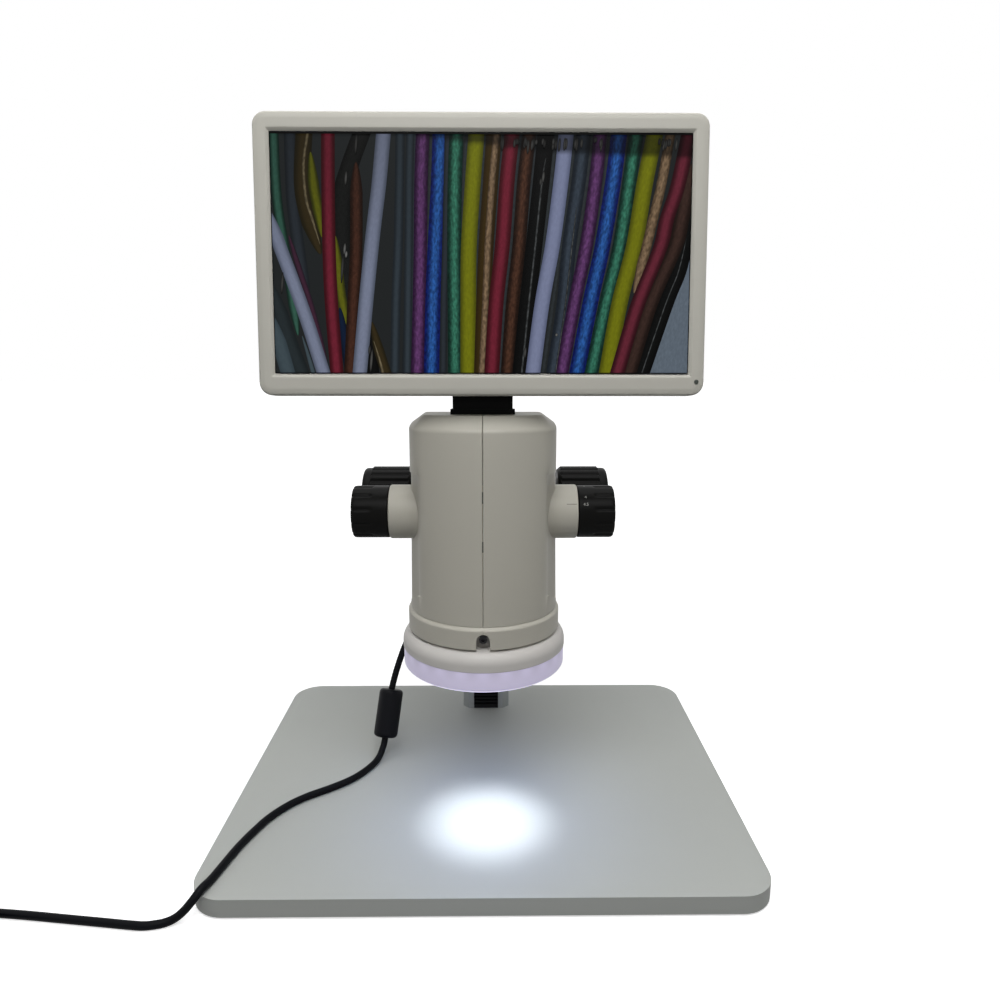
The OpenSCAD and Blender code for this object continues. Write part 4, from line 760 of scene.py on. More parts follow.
def collar_half(side):
    """Half of the round collar: its section swept from the seam, or from the arched notch's edge, to the back.

    Row by row the start lies at x = ARCH below the arch's middle, on the arch x = sqrt(ARCH^2 - dz^2) above it,
    and on the seam over the arch.
    """
    outer_r, foot_r, inner_r, lip_r = 47.6, 45.4, 42.5, 44.0
    foot_z, over_arch_z, top_z, chamfer = COLLAR_Z + 0.8, 167.2, 167.5, 2.0
    arch = ARCH_Z + ARCH * np.sin(np.radians(np.linspace(0, 90, 9)))
    z = np.concatenate([[COLLAR_Z, foot_z, foot_z, foot_z + 0.3], arch, [over_arch_z]])
    r = np.full(len(z), outer_r)
    r[:3] = foot_r, foot_r, outer_r - 0.3
    top = filleted(
        [(outer_r, top_z), (outer_r, HEAD_Z - chamfer), (outer_r - chamfer, HEAD_Z), (lip_r, HEAD_Z)],
        0.8, closed=False,
    )
    z, r = np.append(z, top[:, 1]), np.append(r, top[:, 0])
    edge = np.where(z <= ARCH_Z, ARCH, np.sqrt(np.maximum(ARCH**2 - (z - ARCH_Z) ** 2, 0)))
    edge = np.maximum(edge, SEAM)
    r = np.append(r, np.full(len(z), inner_r))
    z, edge = np.append(z, z[::-1]), np.append(edge, edge[::-1])
    share = np.concatenate([np.linspace(0, 0.1, 9), np.linspace(0.1, 1, 60)[1:]])
    start = np.arcsin(edge / r)[:, None]
    stop = np.pi - np.arcsin(SEAM / r)[:, None]
    a = start + (stop - start) * share
    r, z = r[:, None], z[:, None]
    points = np.stack([side * r * np.sin(a), AXIS_Y - r * np.cos(a), z + 0 * a], -1)
    rows, columns = a.shape
    k = np.arange(rows // 2 - 1)
    ends = [np.stack([k, k + 1, rows - 2 - k, rows - 1 - k], -1) * columns + c for c in (0, columns - 1)]
    return points.reshape(-1, 3), np.concatenate([grid(rows, columns, over=True), *ends])


for side in SIDE_NAMES:
    head_shell(side)
front_y = AXIS_Y - HEAD_R
clips = [box((-CLIP_X, CLIP_X), (front_y + CLIP_IN, front_y + CLIP_END), z) for z in CLIP_Z]
solid("seam_clips", clips, "head", "black_metal", look=CLIP)


# ------------------------------------------------------------------ ring light

# Radii of the ring light: its bore, the inside of its walls, and its outside
BORE_R, INNER_R, RING_R = 34.1, 36.1, 51.1
DIODES = 24


def ring_light():
    """The ring light's housing and its diffuser, both turned about the optical axis."""
    crown_r, crown_x, crown_z = 8, 43.5, 148
    arc = np.radians(np.linspace(0, 90, 14))
    crown = np.stack([crown_x + crown_r * np.cos(arc), crown_z + crown_r * np.sin(arc)], -1)
    # the hollow for the diodes, and the neck inside the collar
    in_r, out_r, hollow_z, slant = 36.6, 49, 153.5, 4
    neck_r, neck_z = 40, COLLAR_Z + 11
    housing = np.concatenate([
        [(BORE_R, HOUSING_Z), (in_r, HOUSING_Z), (in_r, hollow_z), (out_r - slant, hollow_z)],
        [(out_r, hollow_z - slant), (out_r, HOUSING_Z), (RING_R, HOUSING_Z), (RING_R + 0.4, HOUSING_Z + 0.4)],
        crown, [(neck_r, COLLAR_Z), (neck_r, neck_z), (BORE_R, neck_z)],
    ])
    solid(
        "ring_light_housing", [about_axis(lathe(housing, 160))], "head", "cream_plastic", look=RING_WHITE,
        stands_for=("ring_housing",),
    )
    wall = 2
    section = filleted(
        [(BORE_R, HOUSING_Z), (BORE_R, RING_Z + wall), (INNER_R, RING_Z), (RING_R - 1.5, RING_Z),
         (RING_R, RING_Z + 1.6), (RING_R, HOUSING_Z), (RING_R - wall, HOUSING_Z),
         (RING_R - wall, RING_Z + wall), (INNER_R, RING_Z + wall), (INNER_R, HOUSING_Z)],
        [0, 0.5, 0.5, 0.8, 0.8, 0, 0, 0, 0, 0],
    )
    diffuser = solid(
        "ring_light_diffuser", [about_axis(lathe(section, 160))], "head", "diffuser",
        stands_for=("ring_diffuser",),
    )
    glow(diffuser)


# Light of the diffuser: all over, added by a diode's patch, and added at the lower lip
GLOW, PATCH, LIP = 0.24, 0.05, 0.7


def glow(diffuser):
    """Lights the diffuser: its lower lip is brightest, and its wall has a soft patch by each diode.

    The patches are the cosine of DIODES times the angle round the axis, fading from the housing downward.
    """
    tree = diffuser.data.materials[0].node_tree
    surface = next(n for n in tree.nodes if n.type == "BSDF_PRINCIPLED")
    place = add(tree, "ShaderNodeTexCoord").outputs["Object"]
    centred = add(tree, "ShaderNodeVectorMath", operation="SUBTRACT", pin0=place, pin1=(0, AXIS_Y * MM, 0))
    split = add(tree, "ShaderNodeSeparateXYZ", Vector=centred.outputs[0])
    angle = add(tree, "ShaderNodeMath", operation="ARCTAN2", pin0=split.outputs[1], pin1=split.outputs[0])
    waves = add(tree, "ShaderNodeMath", operation="MULTIPLY", pin0=angle.outputs[0], pin1=float(DIODES))
    patch = add(tree, "ShaderNodeMath", operation="COSINE", pin0=waves.outputs[0])
    high = add(
        tree, "ShaderNodeMapRange", Value=split.outputs[2], pin1=(RING_Z + 6) * MM, pin2=(HOUSING_Z - 1) * MM,
        pin3=0.0, pin4=PATCH,
    )
    spots = add(tree, "ShaderNodeMath", operation="MULTIPLY", pin0=patch.outputs[0], pin1=high.outputs[0])
    lip = add(
        tree, "ShaderNodeMapRange", Value=split.outputs[2], pin1=(RING_Z + 1.7) * MM, pin2=(RING_Z + 0.6) * MM,
        pin3=0.0, pin4=LIP,
    )
    base = add(tree, "ShaderNodeMath", operation="ADD", pin0=spots.outputs[0], pin1=lip.outputs[0])
    power = add(tree, "ShaderNodeMath", operation="ADD", pin0=base.outputs[0], pin1=GLOW)
    tree.links.new(power.outputs[0], surface.inputs["Emission Strength"])
    surface.inputs["Emission Color"].default_value = linear("e4deff")


ring_light()


# ------------------------------------------------------------------ knobs and bosses

# Radii of the zoom knobs and their bosses, and how far the marks lie outside them
ZOOM_R, BOSS_R = 16.2, 16.75
INDEX_OUT, SCALE_OUT = 0.04, 0.05
# The scale: the angle of its index above the front, its full turn in degrees, its lowest and highest number
INDEX_ANGLE, FULL_TURN = math.radians(27), 267.4
ZOOM_LOW, ZOOM_HIGH = 0.7, 4.5


def boss(side):
    """The fixed boss behind a zoom knob: a turned sleeve with a rounded rim, bored for the shaft."""
    bore_r, x0, x1 = 3.1, 34, 57.7
    profile = filleted([(bore_r, x0), (BOSS_R, x0), (BOSS_R, x1), (bore_r, x1)], [0, 0, 1.3, 0.3])
    label = SIDE_NAMES[side]
    solid(
        f"boss_{label}", [sideways(lathe(profile), side, AXIS_Y, ZOOM_Z)], "head", "cream_plastic",
        stands_for=(f"zoom_boss_{label}",),
    )


def knob(profile, radius, flutes, depth, power, zone):
    """A knob about Z: rings of radius r with flutes cut into them.

    A flute is (0.5 + 0.5 cos(n a)) raised to a power, so narrow grooves part broad ribs. The cut fades in and
    out over zone = (start, end, softness) along the axis, and stays outside three quarters of the radius.
    """
    steps = flutes * 20
    a = np.arange(steps) * 2 * np.pi / steps
    groove = (0.5 + 0.5 * np.cos(flutes * a)) ** power
    r, z = profile[:, :1], profile[:, 1:]
    start, end, soft = zone
    weight = np.clip((z - start) / soft, 0, 1) * np.clip((end - z) / soft, 0, 1)
    weight = weight * (r > radius * 0.75)
    cut = r - depth * groove * weight
    points = np.stack([cut * np.cos(a), cut * np.sin(a), z + 0 * a], -1).reshape(-1, 3)
    return points, grid(len(profile), steps, around=True)


def dense(profile, step=0.8):
    """A profile with extra points, no further apart than step."""
    out = [profile[:1]]
    for a, b in zip(profile[:-1], profile[1:]):
        n = max(1, int(math.ceil(np.linalg.norm(b - a) / step)))
        out.append(a + (b - a) * (np.arange(1, n + 1) / n)[:, None])
    return np.concatenate(out)


def zoom_knob(side):
    """A zoom knob: a smooth inner band for the scale, then grooves up to the rounded outer end."""
    x0, x1, r, band = 58.0, 80.2, ZOOM_R, 9.6
    profile = filleted(
        [(0, x0), (r - 0.2, x0), (r, x0 + 1.0), (r, x1), (r - 2.6, x1), (r - 3.4, x1 - 0.6), (0, x1 - 0.6)],
        [0, 0.4, 0.3, 2.6, 0.3, 0.3, 0], closed=False, steps=6,
    )
    part = knob(dense(profile), r, flutes=11, depth=0.75, power=9.0, zone=(x0 + band, x1 + 2, 0.8))
    label = SIDE_NAMES[side]
    solid(
        f"zoom_grip_{label}", [sideways(part, side, AXIS_Y, ZOOM_Z)], f"zoom_drive_{label}", "knob_plastic",
        stands_for=(f"zoom_knob_{label}",),
    )


def focus_knob(side):
    """A focusing knob: broad ribs that end in a step, and a well rounded outer end."""
    x0, x1, r, rib, step_x = 58.5, 98.5, 27.5, 1.2, 91.5
    profile = filleted(
        [(0, x0), (r - 3, x0), (r - rib, x0 + 1.8), (r, x0 + 3), (r, step_x), (r - rib, step_x + 0.3),
         (r - rib, x1), (r - 7, x1), (r - 8, x1 - 0.8), (0, x1 - 0.8)],
        [0, 0.8, 0.3, 0.4, 0.4, 0.1, 5.0, 0.5, 0.5, 0], closed=False, steps=8,
    )
    part = knob(
        dense(profile, 1.2), r, flutes=24, depth=rib, power=1.6, zone=(x0 + 2.6, step_x + 0.3, 0.2)
    )
    label = SIDE_NAMES[side]
    solid(
        f"focus_grip_{label}", [sideways(part, side, FOCUS_Y, FOCUS_Z)], "focus_drive", "knob_plastic",
        stands_for=(f"focus_knob_{label}",),
    )


for side in SIDE_NAMES:
    boss(side)
    zoom_knob(side)
    focus_knob(side)


def on_cylinder(across, round_, radius, x, angle):
    """Points on a cylinder about the zoom shafts: across is along X, round_ the way up round it, in mm."""
    a = angle + np.asarray(round_) / radius
    return np.stack(
        [x + np.asarray(across), AXIS_Y - radius * np.cos(a), ZOOM_Z + radius * np.sin(a)], -1
    )


def scale_marks():
    """The index line on the right boss and the plain numbers of the scale on the right knob.

    A number's place is the logarithm of its share of the highest one, so equal factors take equal turns.
    """
    line_x, line_l, half, scale_x, high = 50.4, 6.2, 0.22, 62.2, 2.7
    across, up = np.meshgrid([0.0, line_l], np.linspace(-half, half, 3))
    line = on_cylinder(across, up, BOSS_R + INDEX_OUT, line_x, INDEX_ANGLE).reshape(-1, 3)
    # the index line: a flat strip over the boss, its dark tone painted shade standing in for an engraved groove
    solid("index_line", [(line, grid(3, 2))], "head", "cream_plastic", weld=False, look=INDEX_GROOVE_SHADE)
    parts = []
    for text in ("4.5", "4", "3", "2", "1", "0.7"):
        turned = FULL_TURN * math.log(ZOOM_HIGH / float(text)) / math.log(ZOOM_HIGH / ZOOM_LOW)
        points, faces = lettering(text, high)
        angle = INDEX_ANGLE + math.radians(turned)
        parts.append((on_cylinder(points[:, 0], points[:, 1], ZOOM_R + SCALE_OUT, scale_x, angle), faces))
    solid("zoom_scale", parts, "zoom_drive_right", "knob_plastic", weld=False, look=INK_WHITE)


def lettering(text, size):
    """A number as flat triangles about the origin, (points, triangles), from Blender's own plain font."""
    data = bpy.data.curves.new("label", "FONT")
    data.body, data.size, data.align_x, data.align_y = text, size, "CENTER", "CENTER"
    data.resolution_u = 3
    item = placed("label", data)
    ready = item.evaluated_get(bpy.context.evaluated_depsgraph_get())
    mesh = bpy.data.meshes.new_from_object(ready)
    mesh.calc_loop_triangles()
    points = np.empty(len(mesh.vertices) * 3)
    mesh.vertices.foreach_get("co", points)
    faces = np.empty(len(mesh.loop_triangles) * 3, np.int32)
    mesh.loop_triangles.foreach_get("vertices", faces)
    bpy.data.objects.remove(item)
    bpy.data.curves.remove(data)
    bpy.data.meshes.remove(mesh)
    return points.reshape(-1, 3), faces.reshape(-1, 3)


scale_marks()


# ------------------------------------------------------------------ display


def rounded_rectangle(w, h, r, steps=10):
    """A rectangle's outline with round corners, as (x, z), starting at the right and going round upward."""
    a = np.radians(np.linspace(0, 90, steps))
    out = []
    for k, (sx, sz) in enumerate([(1, 1), (-1, 1), (-1, -1), (1, -1)]):
        turn = a + k * np.pi / 2
        out.append(np.stack([sx * (w / 2 - r) + r * np.cos(turn), sz * (h / 2 - r) + r * np.sin(turn)], -1))
    return np.concatenate(out)


def bezel():
    """The display's front frame, as rings of rounded rectangles.

    They run from the parting line over the front to the picture's edge, and back behind the panel.
    """
    outer_w, outer_h, shift, corner = 240.7, 147.5, -0.6, 7.0
    back_y, front_y, glass_y, behind = 4.5, -1.5, 0.8, 2.6
    rings = []

    def ring(w, h, r, depth, rise=0.0):
        """Adds a rounded rectangle at a depth behind the panel's face, raised by rise."""
        flat = rounded_rectangle(w, h, r)
        rings.append(np.stack([flat[:, 0], 0 * flat[:, 0] + depth, flat[:, 1] + rise], -1))

    # (inset from the outer edge, depth) of the rounded outer profile
    outer = filleted(
        [(0.5, back_y), (0, 4.0), (0, -0.9), (2.4, -1.35), (3.4, front_y), (4.4, front_y)],
        [0, 0.3, 1.5, 0.5, 0.5, 0], steps=6, closed=False,
    )
    for inset, depth in outer:
        ring(outer_w - 2 * inset, outer_h - 2 * inset, corner - inset, depth, shift)
    # (outset from the picture's edge, depth) of the inner lip, and behind the panel
    lip = filleted(
        [(3.6, front_y), (2.0, front_y), (0.0, 0.0), (0.0, glass_y)], [0, 0.4, 0.2, 0], steps=4, closed=False
    )
    for outset, depth in lip:
        ring(SCREEN_W + 2 * outset, SCREEN_H + 2 * outset, 0.3 + 0.2 * outset, depth)
    for depth in (glass_y, back_y):
        ring(SCREEN_W + 2 * behind, SCREEN_H + 2 * behind, 0.3, depth)
    points = in_display(np.array(rings)).reshape(-1, 3)
    solid(
        "display_frame", [(points, grid(len(rings), len(rings[0]), around=True, over=True))], "display",
        "display_plastic", sharp=40, stands_for=("display_bezel",),
    )


# Dyes of the wires: edge colour, core colour, share of the width that is core, strength of the braid
DYES = {
    "moss": ("0a1a15", "3a6455", 0.55, 0.2), "grey": ("1c2023", "30363d", 0.6, 0.1),
    "olive": ("1e1b0e", "3a301a", 0.6, 0.1), "dim_yellow": ("26290c", "686b16", 0.55, 0.2),
    "straw": ("2a261a", "7a6e54", 0.7, 0.7), "ink": ("0b0c0b", "1d1e1d", 0.7, 0.3),
    "navy": ("08121e", "10203a", 0.6, 0.1), "brown": ("1e1009", "4c2e22", 0.5, 0.4),
    "slate": ("1f252a", "38424a", 0.5, 0.1), "haze": ("3c4452", "868ea6", 0.75, 0.1),
    "wine": ("221a24", "45283a", 0.6, 0.2), "shade": ("1c2224", "2b3336", 0.6, 0.1),
    "ash": ("37434a", "48565d", 0.7, 0.1), "plum": ("240a2c", "6a4074", 0.5, 0.6),
    "blue": ("04085a", "2e62ae", 0.45, 0.8), "green": ("03201a", "3c8068", 0.45, 0.7),
    "yellow": ("3c3e06", "7e8212", 0.7, 0.2), "bronze": ("261b09", "40300f", 0.7, 0.1),
    "tan": ("36291b", "8a7258", 0.65, 0.7), "red": ("3a0910", "7a2537", 0.5, 0.2),
    "earth": ("1b0e08", "523527", 0.45, 0.6), "jet": ("030303", "0e0f0f", 0.6, 0.4),
    "lilac": ("4c5470", "8890b0", 0.8, 0.1), "steel": ("1a2028", "3c4652", 0.45, 0.3),
    "cloud": ("5b6671", "6b7784", 0.9, 0.2), "umber": ("1a100c", "412e28", 0.5, 0.3),
    "maroon": ("2c0a11", "702a3a", 0.5, 0.2), "thread": ("101010", "505354", 0.5, 1.0),
}
# The wires of the live picture, from the back to the front: dye, width as a share of the picture's width, and
# the (across, down) places it runs through, as shares
WIRES = [
    ("moss", 0.024, [(0.010, 0), (0.012, 0.2), (0.018, 0.34), (0.032, 0.51), (0.056, 0.84)]),
    ("grey", 0.030, [(0.049, 0), (0.050, 0.2), (0.054, 0.34), (0.080, 0.74)]),
    ("olive", 0.040, [(0.082, 0), (0.075, 0.2), (0.086, 0.34), (0.114, 0.50)]),
    ("dim_yellow", 0.026, [(0.096, 0.08), (0.102, 0.22), (0.110, 0.31), (0.119, 0.43)]),
    ("straw", 0.007, [(0.091, 0), (0.079, 0.13), (0.083, 0.27), (0.094, 0.34), (0.114, 0.46)]),
    ("ink", 0.044, [(0.218, 0), (0.187, 0.14), (0.170, 0.25), (0.167, 0.46), (0.180, 0.78)]),
    ("dim_yellow", 0.024, [(0.150, 0.42), (0.159, 0.63), (0.166, 0.72), (0.178, 0.86)]),
    ("navy", 0.024, [(0.158, 0.72), (0.168, 0.86), (0.180, 1.0)]),
    ("red", 0.032, [(0.138, 0), (0.136, 0.2), (0.135, 0.46), (0.138, 0.70), (0.148, 1.0)]),
    ("brown", 0.030, [(0.203, 0.12), (0.200, 0.46), (0.191, 0.70), (0.180, 1.0)]),
    ("grey", 0.034, [(0.345, 0), (0.335, 0.46), (0.330, 0.70), (0.322, 1.0)]),
    ("slate", 0.022, [(0.308, 0), (0.305, 0.2), (0.300, 0.46), (0.293, 0.70), (0.288, 1.0)]),
    ("slate", 0.020, [(0.332, 0), (0.328, 0.2), (0.325, 0.46), (0.322, 0.70), (0.318, 1.0)]),
    ("jet", 0.030, [(0.226, 0.77), (0.230, 0.89), (0.236, 1.0)]),
    ("olive", 0.026, [(0.234, 0.78), (0.252, 0.91), (0.268, 1.0)]),
    ("straw", 0.007, [(0.238, 0.86), (0.250, 0.93), (0.260, 1.0)]),
    ("haze", 0.035, [(0.269, 0), (0.257, 0.2), (0.246, 0.34), (0.237, 0.46), (0.221, 0.70), (0.203, 1.0)]),
    ("wine", 0.015, [(0.040, 0.42), (0.066, 0.58), (0.090, 0.72), (0.126, 0.98)]),
    ("shade", 0.040, [(-0.006, 0.62), (0.030, 0.84), (0.062, 1.0)]),
    ("ash", 0.036, [(-0.010, 0.74), (0.012, 0.88), (0.030, 1.0)]),
    ("ash", 0.010, [(0.066, 0.84), (0.079, 0.92), (0.091, 1.0)]),
    ("haze", 0.034, [(-0.012, 0.30), (0.017, 0.46), (0.047, 0.61), (0.081, 0.79), (0.116, 1.0)]),
    ("plum", 0.032, [(0.361, 0), (0.356, 0.2), (0.353, 0.46), (0.349, 0.70), (0.343, 1.0)]),
    ("blue", 0.037, [(0.403, 0), (0.398, 0.2), (0.389, 0.46), (0.382, 0.70), (0.377, 1.0)]),
    ("grey", 0.016, [(0.421, 0), (0.413, 0.46), (0.408, 0.70), (0.405, 1.0)]),
    ("green", 0.034, [(0.441, 0), (0.436, 0.2), (0.434, 0.46), (0.434, 0.70), (0.434, 1.0)]),
    ("yellow", 0.038, [(0.488, 0), (0.479, 0.2), (0.469, 0.46), (0.467, 0.70), (0.466, 1.0)]),
    ("bronze", 0.036, [(0.529, 0), (0.521, 0.2), (0.510, 0.46), (0.504, 0.70), (0.498, 1.0)]),
    ("tan", 0.016, [(0.535, 0), (0.524, 0.2), (0.514, 0.46), (0.508, 0.70), (0.499, 1.0)]),
    ("red", 0.036, [(0.572, 0), (0.560, 0.2), (0.549, 0.46), (0.534, 0.70), (0.523, 1.0)]),
    ("earth", 0.032, [(0.613, 0), (0.600, 0.2), (0.589, 0.46), (0.574, 0.70), (0.561, 1.0)]),
    ("jet", 0.040, [(0.652, 0), (0.641, 0.2), (0.625, 0.46), (0.610, 0.70), (0.593, 1.0)]),
    ("lilac", 0.036, [(0.700, 0), (0.688, 0.2), (0.669, 0.46), (0.645, 0.70), (0.623, 1.0)]),
    ("steel", 0.034, [(0.742, 0), (0.730, 0.2), (0.709, 0.46), (0.697, 0.70), (0.672, 1.0)]),
    ("plum", 0.032, [(0.781, 0), (0.770, 0.2), (0.750, 0.46), (0.723, 0.70), (0.693, 1.0)]),
    ("blue", 0.038, [(0.825, 0), (0.812, 0.2), (0.789, 0.46), (0.761, 0.70), (0.730, 1.0)]),
    ("green", 0.034, [(0.866, 0), (0.851, 0.2), (0.830, 0.46), (0.799, 0.70), (0.765, 1.0)]),
    ("yellow", 0.040, [(0.910, 0), (0.888, 0.2), (0.865, 0.46), (0.832, 0.70), (0.803, 1.0)]),
    ("tan", 0.024, [(0.947, 0), (0.927, 0.21), (0.909, 0.35), (0.895, 0.46), (0.866, 0.66)]),
    ("cloud", 0.130, [(1.02, 0.42), (0.985, 0.70), (0.955, 1.0)]),
    ("jet", 0.044, [(1.015, 0.30), (0.987, 0.43), (0.970, 0.57), (0.940, 0.71), (0.886, 1.0)]),
    ("umber", 0.038, [(1.0, 0.12), (0.977, 0.35), (0.962, 0.47), (0.905, 0.71), (0.856, 1.0)]),
    ("maroon", 0.036, [(0.99, 0), (0.967, 0.21), (0.942, 0.35), (0.927, 0.47), (0.875, 0.71), (0.828, 1.0)]),
    ("thread", 0.006, [(0.652, 0.10), (0.643, 0.2), (0.628, 0.46), (0.613, 0.70), (0.596, 1.0)]),
    ("thread", 0.004, [(0.990, 0.43), (0.972, 0.57), (0.942, 0.71), (0.888, 1.0)]),
    ("thread", 0.004, [(0.726, 0.30), (0.716, 0.46), (0.700, 0.72), (0.678, 1.0)]),
]
# Those of the wires that lie side by side, and the paler gap between neighbours: its width and tone
RIBBON = slice(22, 38)
GAP_W, GAP_TONE = 0.010, "33383b"
# Small glints on the wires: (across, down, height, tone)
GLINTS = [
    (0.646, 0.18, 0.05, 0.10), (0.640, 0.20, 0.03, 0.06), (0.680, 0.835, 0.014, 0.20),
    (0.1785, 0.187, 0.06, 0.08), (0.1726, 0.477, 0.05, 0.16), (0.176, 0.50, 0.03, 0.22),
    (0.232, 0.945, 0.10, 0.10), (0.228, 0.90, 0.04, 0.05), (0.204, 0.05, 0.08, 0.04),
    (0.166, 0.56, 0.12, 0.05), (0.022, 0.62, 0.09, 0.06), (0.604, 0.91, 0.05, 0.08),
]
# Pale threads and crimps in the connector's mouth: from and to, across, and how many
THREADS = [(0.54, 0.70, 22), (0.72, 0.79, 9), (0.92, 0.97, 8)]
# The panel's black rim round the picture, as (across, down) ranges, and its light
RIM = (((0, 1), (0, 0.010)), ((0, 1), (0.996, 1)), ((0, 0.002), (0, 1)), ((0.998, 1), (0, 1)))
RIM_TONE = (0.0015, 0.0015, 0.0015)
GROUND = "26292a"
BACKLIGHT = 0.68
# How far in front of the panel the picture's first layer stands, and each next one in front of the last
LAYER_START, LAYER = 0.02, 0.01
# Length, down the picture, of the point in which a wire ends inside it
TAPER = 0.12


def mouth(x):
    """How far down the picture the wires are still inside their dark connector, by their place across."""
    return np.interp(x, [0.30, 0.36, 0.50, 0.60, 0.75, 1.0], [-0.05, 0.01, 0.035, 0.06, 0.075, 0.09])


def picture():
    """The display's live picture as coloured strips on the panel, one for each wire, lit by themselves.

    Across a strip the colour goes from core to edge as 1 / (1 + (u / c)^4), where c is the core's share. Strips
    that end inside the picture taper to a point as the square root of the distance from their end. Inside the
    connector they are dim, and the picture's top is dimmer than its bottom, most so on the left.
    """
    across = np.sin(np.radians(np.linspace(-90, 90, 15)))
    down = np.linspace(0, 1, 90)
    parts, colours, uvs = [], [], []

    def strip(x, v, colour, braid, u):
        """Adds one strip in front of the last: x and v are rows of places, colour is one for each point."""
        px = (np.clip(x, 0, 1) - 0.5) * SCREEN_W
        pz = (0.5 - np.clip(v, 0, 1)) * SCREEN_H + 0 * px
        points = in_display(np.stack([px, 0 * px - LAYER_START - LAYER * len(parts), pz], -1))
        parts.append((points.reshape(-1, 3), grid(*px.shape)[:, ::-1]))
        paint = np.broadcast_to(colour, (*px.shape, 3)).reshape(-1, 3)
        colours.append(np.concatenate([paint, np.full((px.size, 1), braid)], -1))
        uvs.append(np.stack([u + 0 * px, v * SCREEN_H + 0 * px], -1).reshape(-1, 2))

    def wire(curve, width, edge, core, share, braid):
        """Adds a strip along a curve given by its places across and down."""
        v = curve[0, 1] + (curve[-1, 1] - curve[0, 1]) * down
        middle = np.interp(v, curve[:, 1], curve[:, 0])
        start = np.sqrt(np.clip((v - v[0]) / TAPER, 0, 1)) if v[0] > 0.05 else 1 + 0 * v
        end = np.sqrt(np.clip((v[-1] - v) / TAPER, 0, 1)) if v[-1] < 0.99 else 1 + 0 * v
        x = middle[:, None] + width / 2 * across * (start * end)[:, None]
        blend = (1 / (1 + (np.abs(across) / share) ** 4))[None, :, None]
        shade = np.array(linear(edge)[:3]) * (1 - blend) + np.array(linear(core)[:3]) * blend
        out = np.clip((v - mouth(middle)) / 0.02, 0, 1)
        veil = np.clip(1 - v / 0.6, 0, 1) * np.interp(middle, [0.3, 0.45], [0.3, 0.0])
        dim = (1 - veil) * (0.25 + 0.75 * out)
        # the braid's pattern starts somewhere else on each wire
        u = across[None] * width / 2 * SCREEN_W + 7.3 * len(parts)
        strip(x, v[:, None], shade * dim[:, None, None], braid, u)

    def glint(x, v, high, tone):
        """Adds a small slanted fleck whose light falls off as (1 - a^2)(1 - b^2) from its middle."""
        a, b = np.linspace(-1, 1, 5)[None], np.linspace(-1, 1, 7)[:, None]
        light = tone * (1 - a**2) * (1 - b**2) + 0.006
        px = x + 0.0032 * a * np.sqrt(1 - 0.9 * b**2) - 0.025 * b * high
        strip(px, v + b * high / 2, light[..., None] * [1, 1, 0.96], 0.0, a)

    flat = np.array([[0.0, 1.0], [0.0, 1.0]])
    strip(flat, flat.T, linear(GROUND)[:3], 0.0, flat)
    curves = [flowing(np.column_stack([np.array(w[2]), np.zeros(len(w[2]))]), 12)[:, :2] for w in WIRES]
    rows = np.linspace(0, 1, 30)
    for left, right in zip(curves[RIBBON], curves[RIBBON][1:]):
        middle = (np.interp(rows, *left.T[::-1]) + np.interp(rows, *right.T[::-1])) / 2
        wire(np.column_stack([middle, rows]), GAP_W, GROUND, GAP_TONE, 0.6, 0.3)
    for (dye, width, _), curve in zip(WIRES, curves):
        wire(curve, width, *DYES[dye])
    for fleck in GLINTS:
        glint(*fleck)
    random = np.random.default_rng(5)
    for x in np.concatenate([random.uniform(*bundle) for bundle in THREADS]):
        high = random.uniform(0.02, 0.06)
        glint(x, random.uniform(0.02, 0.03) + high / 2, high, random.uniform(0.01, 0.06))
    for x, y in RIM:
        strip(np.array([x, x]), np.array(y)[:, None], RIM_TONE, 0.0, np.array([x, x]))
    made = solid("screen_picture", parts, "display", "screen", weld=False, look=picture_look())
    paint = made.data.color_attributes.new("wire", "FLOAT_COLOR", "POINT")
    paint.data.foreach_set("color", np.concatenate(colours).astype(np.float32).ravel())
    places = np.concatenate(uvs)
    corner = np.empty(len(made.data.loops), np.int32)
    made.data.loops.foreach_get("vertex_index", corner)
    made.data.uv_layers.new(name="wire_uv").data.foreach_set("uv", places[corner].astype(np.float32).ravel())


def picture_look():
    """Light in the painted colour, broken up by the braid: slanted strands, as strong as the paint's alpha.

    Two noises, stretched along the wire and slanted opposite ways, are multiplied; places are in mm.
    """
    look = bpy.data.materials.new("live_picture")
    tree = emptied(look)
    paint = add(tree, "ShaderNodeVertexColor", layer_name="wire")
    place = add(tree, "ShaderNodeUVMap", uv_map="wire_uv")
    strands = []
    for slant in (0.5, -0.5):
        turned = add(
            tree, "ShaderNodeMapping", Vector=place.outputs[0], Rotation=(0, 0, slant), Scale=(0.9, 0.38, 1.0)
        )
        noise = add(tree, "ShaderNodeTexNoise", Vector=turned.outputs[0], Scale=1.0, Detail=2.0)
        strands.append(noise.outputs[0])
    both = add(tree, "ShaderNodeMath", operation="MULTIPLY", pin0=strands[0], pin1=strands[1])
    streak = add(
        tree, "ShaderNodeMapRange", Value=both.outputs[0], pin1=0.14, pin2=0.38, pin3=-0.6, pin4=0.4
    )
    strong = add(tree, "ShaderNodeMath", operation="MULTIPLY", pin0=streak.outputs[0], pin1=paint.outputs[1])
    gain = add(
        tree, "ShaderNodeMath", operation="MULTIPLY_ADD", pin0=strong.outputs[0], pin1=BACKLIGHT, pin2=BACKLIGHT
    )
    surface = add(
        tree, "ShaderNodeBsdfPrincipled", Base_Color=linear("010101"), Roughness=0.4, Specular_IOR_Level=0.03,
        Emission_Color=paint.outputs[0], Emission_Strength=gain.outputs[0],
    )
    add(tree, "ShaderNodeOutputMaterial", Surface=surface.outputs[0])
    return look


bezel()
picture()


# ------------------------------------------------------------------ pieces that keep their CAD form

